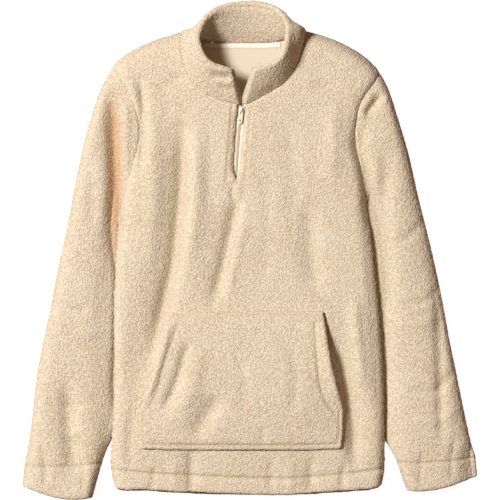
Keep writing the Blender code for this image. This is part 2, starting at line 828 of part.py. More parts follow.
def make_sleeve(side: Side, armhole_points):
    """One sleeve: a flattened tube through rings from the armhole to the turned-up cuff."""
    rings = sleeve_rings(side, armhole_points)
    outer = []
    inner = []
    for number, (plan, wall, groove) in enumerate(rings):
        spans = np.linalg.norm(np.diff(plan, axis=0), axis=1)
        reach = np.concatenate([[0.0], np.cumsum(spans)])
        length = float(reach[-1])
        tops = []
        unders = []
        share = max(0.0, 1.0 - number / 2.5)
        outer_roll = 14.0 + (side.half.outer_roll - 14.0) * ease(number / 6.0)
        droop = 1.0 - CUFF_DROOP * ease((number - 13) / 5.0)
        for place, along, seat in zip(plan, reach, armhole_points):
            full = side.sleeve_full(place) * droop
            edge = roll(along, outer_roll) * roll(length - along, 11.0)
            top = SLEEVE_RIM + (full - SLEEVE_RIM) * edge
            top += (seat[2] - top) * share
            ends = 1.0 - roll(along, UNDER_ROLL) * roll(length - along, UNDER_ROLL)
            inside = min(along, length - along) > 0.01
            tops.append(top - groove * min(1.0, edge) if inside else SLEEVE_RIM)
            unders.append(SLEEVE_RIM * ends)
        loop = [np.array([a, z]) for a, z in zip(reach, tops)]
        loop += [np.array([a, z]) for a, z in zip(reach[-2:0:-1], unders[-2:0:-1])]
        inside_loop = hollow_of(reach, tops, unders, wall)
        for target, ring in ((outer, loop), (inner, inside_loop)):
            for along, height in ring:
                x = float(np.interp(along, reach, plan[:, 0]))
                y = float(np.interp(along, reach, plan[:, 1]))
                target.append((x, y, height))
    around = 2 * (len(armhole_points) - 1)
    faces = []
    for ring in range(len(rings) - 1):
        for step in range(around):
            ahead = (step + 1) % around
            corner = ring * around
            faces.append((corner + step, corner + ahead, corner + around + ahead, corner + around + step))
    return walled("sleeve_" + side.half.name, np.array(outer), np.array(inner), faces)


def softened(rows, times: int):
    """The rows with each but the first and last drawn towards its neighbours, this many times."""
    rows = rows.copy()
    for _ in range(times):
        rows[1:-1] = rows[1:-1] * 0.5 + (rows[:-2] + rows[2:]) * 0.25
    return rows


def make_collar(front_edges):
    """The stand collar: one thick wall from the neck seam to its rounded top edge.

    Returns:
        The outer and inner points as grids, a row for each section round the neck.
    """
    edges = {
        name: [pair for row, pair in enumerate(pairs[:NECK_ROWS]) if row != 1]
        for name, pairs in front_edges.items()
    }
    base = []
    for point, inner in reversed(edges["wearer_right"]):
        run = LEFT.neck.direction(LEFT.neck.nearest(point)[1])
        base.append((point, unit(inner - point), np.array([-run[1], run[0], 0.0]), CROWN))
    tilt = np.array([0.0, 0.0, 2.2])
    base[-1] = (base[-1][0], unit(base[-1][1] + tilt), base[-1][2], CROWN)
    back_from = len(base)
    neck = Path(BACK_NECK)
    for along in stations(neck.length, (0.0, BACK_NECK_STEP), (BACK_NECK_STEP, 0.0), BACK_NECK_SPANS)[1:-1]:
        place = neck.at(along)
        run = neck.direction(along)
        gap = min(LEFT.shoulder.nearest(place)[0], RIGHT.shoulder.nearest(place)[0])
        height = 0.2 + 5.0 * (1.0 - roll(gap, UNDER_ROLL))
        out = np.array([-run[1], run[0], 0.0])
        clear_of = 0.2 + CROWN * ease(1.0 - gap / 50.0) + 4.0 * ease(1.0 - gap / 90.0)
        base.append((np.array([*place, height]), np.array([0.0, 0.0, 1.0]), out, clear_of))
    turn = len(base)
    for point, inner in edges["wearer_left"]:
        run = RIGHT.neck.direction(RIGHT.neck.nearest(point)[1])
        way = unit(inner - point)
        way = way if len(base) > turn else unit(way + tilt)
        base.append((point, way, np.array([run[1], -run[0], 0.0]), CROWN))
    places = np.array([point[:2] for point, _, _, _ in base])
    reach = np.concatenate([[0.0], np.cumsum(np.linalg.norm(np.diff(places, axis=0), axis=1))])
    table = np.array(COLLAR_TOP, float)
    sections = len(base)
    rise = len(COLLAR_RISE) + 2
    starts = np.array([place + off_seam * COLLAR_GAP for place, _, off_seam, _ in base])
    climbs = np.array([max(1.5, row[3] + 1.0 - start[2]) for row, start in zip(base, starts)])
    on_back = np.array([back_from <= section < turn for section in range(sections)])
    upright = np.clip((climbs - 1.5) / 12.0, 0.0, 1.0) * on_back
    off = np.array([row[2] for row in base])
    heels = starts + off * (on_back * (HEEL / 2) * (1.0 + upright))[:, None]
    heels[:, 2] += np.where(on_back, 0.4 + 3.6 * upright, 0.75)
    knees = starts + off * (on_back * 1.2 * HEEL)[:, None]
    knees[:, 2] += climbs
    shares = reach / reach[-1]
    tops = np.array([np.interp(shares, table[:, 0], table[:, n]) for n in (1, 2, 3, 4)]).T
    controls = (knees + tops[:, :3]) / 2
    for control, swell in zip(controls, tops[:, 3]):
        outwards = unit(control[:2] - NECK_MIDDLE)
        control += swell * np.array([*outwards, 0.3])
    controls = softened(controls, 2)
    outer = []
    for start, heel, knee, control, top in zip(starts, heels, knees, controls, tops[:, :3]):
        outer.append(start)
        outer.append(heel)
        for t in COLLAR_RISE:
            outer.append((1 - t) ** 2 * knee + 2 * t * (1 - t) * control + t * t * top)
    outer = np.array(outer)
    faces = [
        (a, a + 1, a + rise + 1, a + rise)
        for section in range(sections - 1)
        for a in range(section * rise, (section + 1) * rise - 1)
    ]
    normals = point_normals(outer, faces).reshape(sections, rise, 3)
    normals = softened(normals, 4)
    normals /= np.linalg.norm(normals, axis=2, keepdims=True)
    normals = normals.reshape(-1, 3)
    inner = outer - normals * COLLAR_WALL
    for section, (_, wall_way, _, _) in enumerate(base):
        first = section * rise
        stands = upright[section]
        knee = first + 2
        inner[first] = outer[first] + wall_way * FLEECE
        lean = unit((1.0 - stands) * wall_way - (1.0 + stands) * normals[knee])
        inner[knee] = outer[knee] + lean * (FLEECE + 1.0)
        share = (outer[first + 1][2] - outer[first][2]) / climbs[section]
        inner[first + 1] = inner[first] + (inner[knee] - inner[first]) * share
        top = first + rise - 1
        inner[top] = outer[top] - normals[top] * (COLLAR_WALL - 2.0)
        outer[top] = outer[top] - normals[top] * 2.0
    walled("collar", outer, inner, faces)
    return outer.reshape(sections, rise, 3), inner.reshape(sections, rise, 3)


def surface_tree(obj):
    """A search tree over an object's faces, in millimetres."""
    points = [vertex.co / MM for vertex in obj.data.vertices]
    return BVHTree.FromPolygons(points, [tuple(polygon.vertices) for polygon in obj.data.polygons])


def top_height(tree, place, reach: float = 4.0) -> float:
    """The highest point of a surface at a plan point and close round it."""
    found = []
    for right, up in ((0, 0), (1, 0), (-1, 0), (0, 1), (0, -1)):
        start = Vector((place[0] + right * reach, place[1] + up * reach, 200.0))
        hit = tree.ray_cast(start, Vector((0.0, 0.0, -1.0)))[0]
        if hit is not None:
            found.append(hit.z)
    return max(found)


def make_pocket(front):
    """The kangaroo pocket: a panel raised over the front, open along its slanted sides."""
    tree = surface_tree(front)
    left = Path(POCKET_LEFT)
    right = Path(POCKET_RIGHT)
    top = Path(POCKET_TOP)
    bottom = Path(POCKET_BOTTOM)
    plan = []
    for down in POCKET_ROWS:
        start = left.at(left.length * down)
        end = right.at(right.length * down)
        plan.append(coons(start, end, top, bottom, POCKET_COLUMNS, down))
    rows = len(POCKET_ROWS)
    columns = len(POCKET_COLUMNS)
    outer = []
    for down, line in zip(POCKET_ROWS, plan):
        for across, place in zip(POCKET_COLUMNS, line):
            open_share = math.sin(math.pi * min(1.0, down / POCKET_OPEN_TO))
            edge = POCKET_LIFT["left" if across < 0.5 else "right"] * max(0.0, open_share) ** 0.7
            middle = ease(min(across, 1.0 - across) / 0.22)
            bulge = POCKET_BULGE * math.sin(math.pi * down) ** 0.6
            rise = edge + (max(bulge, 0.0) - edge) * middle
            rise += relief(POCKET_FOLDS, POCKET_PATHS, place) * middle
            outer.append((*place, top_height(tree, place) + POCKET_GAP + FLEECE + max(rise, 0.0)))
    outer = np.array(outer)
    faces = grid_faces(rows, columns)
    normals = point_normals(outer, faces)
    edges = (
        [column for column in range(columns)],
        [(rows - 1) * columns + column for column in range(columns)],
        [row * columns for row in range(rows)],
        [row * columns + columns - 1 for row in range(rows)],
    )
    for edge in edges:
        seat_on_edge(outer, normals, edge, set())
    return walled("pocket", outer, outer - normals * FLEECE, faces)


def make_neck_tape():
    """The tape along the back neck seam, flat on the back's inner face."""
    neck = Path(BACK_NECK)
    outer = []
    for step in range(NECK_TAPE_SPANS + 1):
        along = NECK_TAPE_FROM + (NECK_TAPE_TO - NECK_TAPE_FROM) * step / NECK_TAPE_SPANS
        run = neck.direction(neck.length * along)
        down = np.array([run[1], -run[0]])
        seam = neck.at(neck.length * along)
        for drop in (NECK_TAPE_DROP, NECK_TAPE_DROP + NECK_TAPE_WIDTH):
            outer.append((*(seam + down * drop), FLEECE + SEAM_GAP + TAPE_WALL))
    outer = np.array(outer)
    faces = [(2 * n, 2 * n + 1, 2 * n + 3, 2 * n + 2) for n in range(NECK_TAPE_SPANS)]
    inner = outer - np.array([0.0, 0.0, TAPE_WALL])
    return walled("neck_tape", outer, inner, faces, colour=TAPE_CREAM, roughness=0.8)


def make_zip_tape(side: Side, front_edges, collar_outer, collar_inner):
    """One zip tape: under the front's edge, then up the inside of the collar's front edge."""
    out = side.half.outward
    section = 0 if side is LEFT else -1
    behind = 1 if side is LEFT else -2
    opening = Path(ZIP_LINE)
    edge = front_edges[side.half.name]
    rows = []
    below = edge[-1]
    for outer, inner in [below, *reversed(edge[NECK_ROWS : NECK_ROWS + ZIP_SPANS])]:
        along = opening.nearest(outer)[1]
        middle = opening.at(along)
        if outer[1] < opening.points[-1][1] - 1.0:
            middle = np.array([opening.points[-1][0] - 0.8, outer[1]])
        height = min(inner[2], CROWN - FLEECE) - TAPE_DROP
        near = np.array([middle[0] + out * TAPE_INNER, middle[1], height])
        far = np.array([middle[0] + out * (ZIP_HALF_OPENING + TAPE_REACH), middle[1], height])
        rows.append((near, far))
    seam = collar_inner[section][0]
    middle = opening.at(0.0)[0]
    height = min(seam[2], CROWN - FLEECE) - TAPE_DROP
    near = np.array([middle + out * (TAPE_INNER + 0.4), seam[1] + 1.0, height])
    far = np.array([middle + out * (ZIP_HALF_OPENING + TAPE_REACH), seam[1] + 1.0, height])
    rows.append((near, far))
    for level in range(2, collar_outer.shape[1]):
        inner = collar_inner[section][level]
        run = unit(collar_inner[behind][level] - inner)
        inwards = unit(inner - collar_outer[section][level])
        base = inner + inwards * TAPE_OFF
        rows.append((base - run * TAPE_PROUD, base + run * TAPE_REACH))
    outer = np.array([point for row in rows for point in (row[0], (row[0] + row[1]) / 2, row[1])])
    faces = []
    for row in range(len(rows) - 1):
        for column in range(2):
            a = 3 * row + column
            ring = (a, a + 1, a + 4, a + 3)
            faces.append(ring if side is RIGHT else tuple(reversed(ring)))
    normals = point_normals(outer, faces)
    return walled(
        "zip_tape_" + side.half.name,
        outer,
        outer - normals * TAPE_WALL,
        faces,
        colour=TAPE_CREAM,
        roughness=0.8,
    )


def box_points(x0, x1, y0, y1, z0, z1):
    """Corners and faces of a box."""
    points = [(x, y, z) for x in (x0, x1) for y in (y0, y1) for z in (z0, z1)]
    faces = [(0, 1, 3, 2), (4, 6, 7, 5), (0, 4, 5, 1), (2, 3, 7, 6), (0, 2, 6, 4), (1, 5, 7, 3)]
    return points, faces


def combine(base, other, operation: str):
    """Joins another object to this one, or cuts it out, and removes the other."""
    change = base.modifiers.new(operation.lower(), "BOOLEAN")
    change.operation = operation
    change.solver = "EXACT"
    change.object = other
    bpy.context.view_layer.objects.active = base
    bpy.ops.object.modifier_apply(modifier=change.name)
    bpy.data.objects.remove(other, do_unlink=True)


def make_slider(height: float):
    """The slider: two plates either side of the tapes, a post between them and a bridge for the pull.

    Args:
        height: the middle of the tapes' thickness.
    """
    half = SLIDER_WIDTH / 2
    post = POST_WIDTH / 2
    channel = SLIDER_CHANNEL / 2
    plate = channel + SLIDER_PLATE
    upper = [(post, channel), (half, channel), (half, plate)]
    right_side = [(x, -z) for x, z in reversed(upper)] + upper
    section = right_side + [(-x, z) for x, z in reversed(right_side)]
    count = len(section)
    points = [(x, y, z) for y in (-SLIDER_LENGTH / 2, SLIDER_LENGTH / 2) for x, z in section]
    faces = [(a, (a + 1) % count, (a + 1) % count + count, a + count) for a in range(count)]
    faces += [tuple(reversed(range(count))), tuple(range(count, 2 * count))]
    finish = {"colour": PALE_METAL, "roughness": 0.35, "metallic": 0.9}
    slider = add_object("slider", points, faces, **finish)
    reach = BRIDGE_LENGTH / 2
    bar = BRIDGE_BAR
    window = reach - bar
    inside = [(-window, -0.2), (-window, BRIDGE_HOLE), (window, BRIDGE_HOLE), (window, -0.2)]
    outside = [(reach, -0.2), (reach, BRIDGE_HOLE + bar), (-reach, BRIDGE_HOLE + bar), (-reach, -0.2)]
    loop = inside + outside
    count = len(loop)
    across = BRIDGE_WIDTH / 2
    points = [(x, y, plate + z) for x in (-across, across) for y, z in loop]
    faces = [(a, (a + 1) % count, (a + 1) % count + count, a + count) for a in range(count)]
    faces += [tuple(reversed(range(count))), tuple(range(count, 2 * count))]
    combine(slider, add_object("bridge", points, faces), "UNION")
    place_on_zip(slider, height)
    return slider, height + plate + BRIDGE_HOLE / 2


def place_on_zip(obj, height: float):
    """Stands an object on the zip's line at the slider's place, turned along the zip."""
    middle, turn = slider_place()
    obj.location = (middle[0] * MM, middle[1] * MM, height * MM)
    obj.rotation_euler = (0.0, 0.0, turn)


def slider_place():
    """The slider's plan point, and how far the zip is turned there from the Y axis."""
    opening = Path(ZIP_LINE)
    along = opening.nearest((ZIP_LINE[0][0], SLIDER_Y))[1]
    run = opening.direction(along)
    return opening.at(along), math.atan2(run[0], -run[1])


def make_pull(height: float):
    """The pull tab, hanging from the bridge along the zip, with its origin on its hinge axis."""
    half = PULL_WIDTH / 2
    wall = PULL_WALL / 2
    outline = [(-half, wall), (-half, -PULL_LENGTH + half * 0.6)]
    for step in range(1, 6):
        angle = math.pi + math.pi * step / 6
        outline.append((half * math.cos(angle), -PULL_LENGTH + half * 0.6 + 0.9 * half * math.sin(angle)))
    outline += [(half, -PULL_LENGTH + half * 0.6), (half, wall)]
    count = len(outline)
    points = [(x, y, z) for z in (-wall, wall) for x, y in outline]
    faces = [(a, (a + 1) % count, (a + 1) % count + count, a + count) for a in range(count)]
    faces += [tuple(reversed(range(count))), tuple(range(count, 2 * count))]
    finish = {"colour": PALE_METAL, "roughness": 0.35, "metallic": 0.9}
    pull = add_object("pull", points, faces, **finish)
    gap = PULL_WINDOW / 2
    window = box_points(-gap, gap, -wall - PULL_WINDOW_LENGTH, -wall, -2.0, 2.0)
    combine(pull, add_object("window", *window), "DIFFERENCE")
    sides = 16
    centre = -PULL_LENGTH + 4.2
    turns = [2 * math.pi * n / sides for n in range(sides)]
    ring = [(math.cos(turn) * PULL_HOLE_RADIUS, math.sin(turn) * PULL_HOLE_RADIUS) for turn in turns]
    points = [(x, centre + y, z) for z in (-2.0, 2.0) for x, y in ring]
    faces = [(a, (a + 1) % sides, (a + 1) % sides + sides, a + sides) for a in range(sides)]
    faces += [tuple(reversed(range(sides))), tuple(range(sides, 2 * sides))]
    combine(pull, add_object("hole", points, faces), "DIFFERENCE")
    place_on_zip(pull, height)
    return pull


def clear_scene():
    """Removes everything that the scene starts with."""
    for old in list(bpy.data.objects):
        bpy.data.objects.remove(old, do_unlink=True)


def centre_on_origin():
    """Moves everything in plan so that the garment's middle is the origin."""
    bpy.context.view_layer.update()
    corners = np.array(
        [tuple(made.matrix_world @ vertex.co) for made in bpy.data.objects for vertex in made.data.vertices]
    )
    middle = (corners.min(axis=0) + corners.max(axis=0)) / 2
    for made in bpy.data.objects:
        made.location.x -= middle[0]
        made.location.y -= middle[1]


def main():
    """Builds every piece in the order that it is laid down."""
    clear_scene()
    front, front_edges, armholes = make_front()
    make_back()
    for side in (LEFT, RIGHT):
        make_sleeve(side, armholes[side.half.name])
    collar_outer, collar_inner = make_collar(front_edges)
    make_pocket(front)
    make_neck_tape()
    for side in (LEFT, RIGHT):
        make_zip_tape(side, front_edges, collar_outer, collar_inner)
    tape_middle = CROWN - FLEECE - TAPE_DROP - TAPE_WALL / 2
    _, hinge = make_slider(tape_middle)
    make_pull(hinge)
    centre_on_origin()


main()
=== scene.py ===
"""Looks of the quarter-zip pullover in curly-pile fleece, laid flat and seen from straight above.

Plan sizes in the tables are millimetres from the middle of the garment, X to the viewer's right and Y
towards the collar. Heights are millimetres above the surface. The wearer's right is at the viewer's left.
"""

import logging
import math
from dataclasses import dataclass, field
from enum import Enum
from typing import Any, Iterable, Sequence

import bpy
import numpy as np
from mathutils import Matrix, Vector
from mathutils.bvhtree import BVHTree


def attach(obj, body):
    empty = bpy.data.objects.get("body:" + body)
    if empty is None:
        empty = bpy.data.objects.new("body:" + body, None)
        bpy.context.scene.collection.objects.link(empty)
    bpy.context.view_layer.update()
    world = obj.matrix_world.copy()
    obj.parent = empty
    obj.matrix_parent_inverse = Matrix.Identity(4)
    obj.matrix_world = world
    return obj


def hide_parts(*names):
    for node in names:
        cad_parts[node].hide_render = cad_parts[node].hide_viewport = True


MM = 0.001
LOG = logging.getLogger("pullover")
Plan = tuple[tuple[float, ...], ...]
Colour = tuple[float, float, float]

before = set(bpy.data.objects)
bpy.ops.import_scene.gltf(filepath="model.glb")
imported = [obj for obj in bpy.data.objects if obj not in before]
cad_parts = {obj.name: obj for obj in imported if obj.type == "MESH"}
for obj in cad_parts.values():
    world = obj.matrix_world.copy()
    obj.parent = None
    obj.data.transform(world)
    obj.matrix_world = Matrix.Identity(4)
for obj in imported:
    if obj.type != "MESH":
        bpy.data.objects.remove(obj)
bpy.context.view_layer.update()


class Inside(Enum):
    """How a cloth piece's hidden face is told from its pile."""

    NONE = "pile on every face"
    BELOW = "faces that look down"
    ABOVE = "faces that look up"
    HOLLOW = "faces that look at the piece itself"


class Held(Enum):
    """How a sheet of cloth lies."""

    LAID = "laid"
    FOLDED = "folded"


def smooth_step(share: np.ndarray) -> np.ndarray:
    """A share from 0 to 1 with soft ends."""
    share = np.clip(share, 0.0, 1.0)
    return share * share * (3.0 - 2.0 * share)


class Curve:
    """A smooth curve through a table's points, in millimetres."""

    STEPS = 6

    def __init__(self, points: Sequence[Sequence[float]]) -> None:
        rows = np.array(points, float)
        ends = np.vstack([2 * rows[0] - rows[1], rows, 2 * rows[-1] - rows[-2]])
        fine = []
        for before, start, end, after in zip(ends, ends[1:], ends[2:], ends[3:]):
            for step in range(self.STEPS):
                t = step / self.STEPS
                bend = (2 * before - 5 * start + 4 * end - after) * t * t
                turn = (3 * start - before - 3 * end + after) * t**3
                fine.append(0.5 * (2 * start + (end - before) * t + bend + turn))
        fine.append(rows[-1])
        self.points = np.array(fine)
        spans = np.linalg.norm(np.diff(self.points, axis=0), axis=1)
        self.reach = np.concatenate([[0.0], np.cumsum(spans)])
        self.length = float(self.reach[-1])

    def at(self, distance: float) -> np.ndarray:
        """The point this far along."""
        return np.array([np.interp(distance, self.reach, column) for column in self.points.T])

    def gaps(self, places: np.ndarray) -> tuple[np.ndarray, np.ndarray]:
        """The gap from each place to the curve, and how far along its nearest point is.

        Args:
            places: an array of points with as many columns as the curve has.

        Returns:
            The gaps and the distances along.
        """
        best = np.full(len(places), 1e9)
        along = np.zeros(len(places))
        for number, (start, end) in enumerate(zip(self.points[:-1], self.points[1:])):
            span = end - start
            share = np.clip((places - start) @ span / max(float(span @ span), 1e-9), 0.0, 1.0)
            gap = np.linalg.norm(places - start - share[:, None] * span, axis=1)
            nearer = gap < best
            best[nearer] = gap[nearer]
            step = self.reach[number + 1] - self.reach[number]
            along[nearer] = self.reach[number] + share[nearer] * step
        return best, along


@dataclass(frozen=True)
class Crease:
    """One soft trough (negative depth) or ridge along a plan curve, fading at both ends.

    Its last field says how much painted warm-brown shade is mixed into the pile's colour along it.
    """

    depth: float
    half_width: float
    path: Plan
    painted_warm_shade_share: float = 0.0

    FADE = 0.3
    START = 0.15

    def height(self, places: np.ndarray) -> np.ndarray:
        """How far it lifts each plan point.

        Args:
            places: plan points in millimetres.

        Returns:
            The lift of each, in millimetres.
        """
        curve = Curve(self.path)
        gaps, along = curve.gaps(places)
        from_end = np.minimum(along, curve.length - along)
        fade = smooth_step(from_end / (self.FADE * curve.length) + self.START)
        return self.depth * fade * np.exp(-((gaps / self.half_width) ** 2))


@dataclass(frozen=True)
class Seam:
    """A stitched line along a plan curve: it presses a groove into the pile."""

    path: Plan
    depth: float = 1.6
    half_width: float = 2.6
    pitch: float = 3.0
    stitched: bool = True

    def press(self, places: np.ndarray) -> np.ndarray:
        """How strongly each plan point is pressed, from 0 to 1."""
        gaps, _ = Curve(self.path).gaps(places)
        return np.exp(-((gaps / self.half_width) ** 2))


class Signal:
    """One shader socket with arithmetic."""

    def __init__(self, graph: "Graph", socket: Any) -> None:
        self.graph = graph
        self.socket = socket

    def _maths(self, operation: str, first: Any, second: Any) -> "Signal":
        """One arithmetic node over two values."""
        made = self.graph.node("ShaderNodeMath", {"operation": operation}, {0: first, 1: second})
        return made.out("Value")

    def __add__(self, other: Any) -> "Signal":
        return self._maths("ADD", self, other)

    def __sub__(self, other: Any) -> "Signal":
        return self._maths("SUBTRACT", self, other)

    def __rsub__(self, other: Any) -> "Signal":
        return self._maths("SUBTRACT", other, self)

    def __mul__(self, other: Any) -> "Signal":
        return self._maths("MULTIPLY", self, other)

    def clipped(self) -> "Signal":
        """The value held between 0 and 1."""
        return self._maths("MAXIMUM", self._maths("MINIMUM", self, 1.0), 0.0)

    def eased(self, low: float, high: float) -> "Signal":
        """0 below low, 1 above high, with a soft step between them."""
        settings = {"interpolation_type": "SMOOTHSTEP"}
        return self.graph.node("ShaderNodeMapRange", settings, {0: self, 1: low, 2: high}).out("Result")


class Step:
    """One shader node, whose outputs are read by name."""

    def __init__(self, graph: "Graph", made: Any) -> None:
        self.graph = graph
        self.made = made

    def out(self, name: str) -> Signal:
        """The named output."""
        return Signal(self.graph, self.made.outputs[name])


class Graph:
    """A material's nodes, ending at one Principled shader."""

    def __init__(self, name: str) -> None:
        self.material = bpy.data.materials.new(name)
        self.material.use_nodes = True
        self.tree = self.material.node_tree
        self.shader = self.tree.nodes["Principled BSDF"]

    def node(self, kind: str, settings: dict[str, Any], values: dict[Any, Any]) -> Step:
        """Adds one node.

        Args:
            kind: its type name.
            settings: its own properties.
            values: its inputs by name or number, each a Signal or a constant.

        Returns:
            The node.
        """
        made = self.tree.nodes.new(kind)
        for key, value in settings.items():
            setattr(made, key, value)
        for key, value in values.items():
            self.feed(made.inputs[key], value)
        return Step(self, made)

    def feed(self, socket: Any, value: Any) -> None:
        """Links a Signal to a socket, or sets a constant on it."""
        if isinstance(value, Signal):
            self.tree.links.new(value.socket, socket)
        else:
            socket.default_value = value

    def place(self) -> Signal:
        """Object coordinates, in metres."""
        return self.node("ShaderNodeTexCoord", {}, {}).out("Object")

    def attribute(self, name: str) -> Signal:
        """A value stored on the piece's own mesh."""
        return self.node("ShaderNodeAttribute", {"attribute_name": name}, {}).out("Fac")

    def noise(self, place: Signal, size: float, detail: float = 2.0, output: str = "Fac") -> Signal:
        """Soft noise with blobs of this size, in metres."""
        values = {"Vector": place, "Scale": 1.0 / size, "Detail": detail, "Roughness": 0.55}
        return self.node("ShaderNodeTexNoise", {}, values).out(output)

    def cells(self, place: Signal, size: float, softness: float = 0.35) -> Signal:
        """Distance to the middle of the nearest cell of this size: 0 in the middle, near 1 at its rim."""
        values = {"Vector": place, "Scale": 1.0 / size, "Smoothness": softness}
        return self.node("ShaderNodeTexVoronoi", {"feature": "SMOOTH_F1"}, values).out("Distance")

    def moved(self, place: Signal, wander: Signal, reach: float) -> Signal:
        """Coordinates shifted by a noise colour, up to this far either way."""
        middle = (0.5, 0.5, 0.5)
        centred = self.node("ShaderNodeVectorMath", {"operation": "SUBTRACT"}, {0: wander, 1: middle})
        values = {0: centred.out("Vector"), 1: (reach, reach, reach), 2: place}
        return self.node("ShaderNodeVectorMath", {"operation": "MULTIPLY_ADD"}, values).out("Vector")

    def mix(self, share: Any, first: Any, second: Any) -> Signal:
        """A colour between two, by share."""
        made = self.tree.nodes.new("ShaderNodeMix")
        made.data_type = "RGBA"
        self.feed(made.inputs[0], share)
        for socket, value in ((made.inputs[6], first), (made.inputs[7], second)):
            self.feed(socket, value if isinstance(value, Signal) else (*value, 1.0))
        return Signal(self, made.outputs[2])

    def bump(self, height: Signal, depth: float, strength: float = 1.0) -> Signal:
        """A bumped normal from a height of 0 to 1, this deep in metres."""
        values = {"Height": height, "Distance": depth, "Strength": strength}
        return self.node("ShaderNodeBump", {}, values).out("Normal")

    def finish(self, **inputs: Any) -> bpy.types.Material:
        """Sets the shader's inputs, underscores standing for spaces, and returns the material."""
        for key, value in inputs.items():
            socket = self.shader.inputs[key.replace("_", " ")]
            if isinstance(value, tuple) and len(value) == 3 and socket.type == "RGBA":
                value = (*value, 1.0)
            self.feed(socket, value)
        return self.material


@dataclass(frozen=True)
class PileFinish:
    """Curly pile: small soft nubs, paler at their tips, with warm painted shade between them.

    Folds get painted shade by how far they sink, and painted warm-brown shade where a crease says so. Sizes
    are in metres.
    """

    name: str
    tip: Colour
    # Painted shade between the nubs: the crevice colour stands for the shade down in the pile.
    painted_crevice_shade: Colour
    # Painted shade in the folds, mixed in by how far the creases sink the cloth.
    painted_fold_shade: Colour = (0.47, 0.35, 0.24)
    painted_fold_shade_share: float = 0.3
    # Painted warm-brown shade along the creases that ask for it.
    painted_warm_shade: Colour = (0.52, 0.28, 0.12)
    nub: float = 0.0028
    curl: float = 0.0016
    clump: float = 0.009
    patch: float = 0.06
    drift: float = 0.005
    depth: float = 0.0012
    warmer: Colour = (0.93, 0.90, 0.85)

    def make(self) -> bpy.types.Material:
        """Builds the material."""
        graph = Graph(self.name)
        place = graph.place()
        wander = graph.noise(place, self.drift, 2.0, "Color")
        nubs = 1.0 - graph.cells(graph.moved(place, wander, 0.003), self.nub, 0.2)
        curls = graph.noise(graph.moved(place, wander, 0.002), self.curl, 2.0)
        clumps = graph.noise(place, self.clump, 2.0)
        height = nubs * 1.0 + curls * 0.35 + clumps * 0.12
        pressed = graph.attribute("pressed")
        # Seams lower the tip share, so pressed pile shows more of the painted crevice shade.
        tips = (height.eased(0.55, 1.1) - pressed * 0.35).clipped()
        wide = graph.noise(place, self.patch, 3.0)
        # Painted shade between the nubs: their hollows take the darker crevice colour, their tips the pale
        # one.
        colour = graph.mix(tips, self.painted_crevice_shade, self.tip)
        # A warmer tone of the tip colour, laid in wide random patches.
        warm_tone_and_painted_warm_shade = tuple(channel * share for channel, share in zip(self.tip, self.warmer))
        colour = graph.mix(wide.eased(0.35, 0.75) * 0.25, colour, warm_tone_and_painted_warm_shade)
        painted_fold_shade_mask = graph.attribute("painted_fold_shade_mask")
        # Painted shade in the folds, stronger the deeper a crease sinks the cloth.
        colour = graph.mix(painted_fold_shade_mask * painted_fold_shade_mask * self.painted_fold_shade_share, colour, self.painted_fold_shade)
        # Painted warm-brown shade along the chosen creases, more in the hollows between the nubs than on
        # their tips.
        colour = graph.mix(graph.attribute("warm_tone_and_painted_warm_shade") * (1.0 - tips * 0.55), colour, self.painted_warm_shade)
        return graph.finish(
            Base_Color=colour,
            Roughness=1.0,
            Specular_IOR_Level=0.08,
            Sheen_Weight=0.25,
            Sheen_Roughness=0.7,
            Sheen_Tint=self.tip,
            Normal=graph.bump(height, self.depth),
        )


@dataclass(frozen=True)
class KnitFinish:
    """The smooth knitted reverse of the fleece: fine close ribs of loops."""

    name: str
    colour: Colour
    pitch: float = 0.0011
    depth: float = 0.00018

    def make(self) -> bpy.types.Material:
        """Builds the material."""
        graph = Graph(self.name)
        place = graph.place()
        wander = graph.noise(place, 0.02, 2.0, "Color")
        values = {"Vector": graph.moved(place, wander, 0.0006), "Scale": 1.0 / self.pitch / math.tau * 2.0}
        ribs = graph.node("ShaderNodeTexWave", {"bands_direction": "X"}, values).out("Fac")
        loops = graph.node("ShaderNodeTexWave", {"bands_direction": "Y"}, values).out("Fac")
        fuzz = graph.noise(place, 0.0016, 3.0)
        height = ribs * 0.5 + loops * 0.3 + fuzz * 0.4
        dark = tuple(channel * 0.88 for channel in self.colour)
        colour = graph.mix(height.eased(0.2, 0.9), dark, self.colour)
        return graph.finish(
            Base_Color=colour,
            Roughness=0.95,
            Specular_IOR_Level=0.15,
            Sheen_Weight=0.1,
            Normal=graph.bump(height, self.depth),
        )


@dataclass(frozen=True)
class WovenFinish:
    """Twill tape: fine slanted ribs."""

    name: str
    colour: Colour
    pitch: float = 0.0009
    depth: float = 0.00012

    def make(self) -> bpy.types.Material:
        """Builds the material."""
        graph = Graph(self.name)
        place = graph.place()
        values = {"Vector": place, "Scale": 1.0 / self.pitch / math.tau * 2.0}
        ribs = graph.node("ShaderNodeTexWave", {"bands_direction": "DIAGONAL"}, values).out("Fac")
        fuzz = graph.noise(place, 0.0008, 2.0)
        height = ribs * 0.7 + fuzz * 0.3
        dark = tuple(channel * 0.85 for channel in self.colour)
        return graph.finish(
            Base_Color=graph.mix(height, dark, self.colour),
            Roughness=0.8,
            Specular_IOR_Level=0.25,
            Normal=graph.bump(height, self.depth),
        )


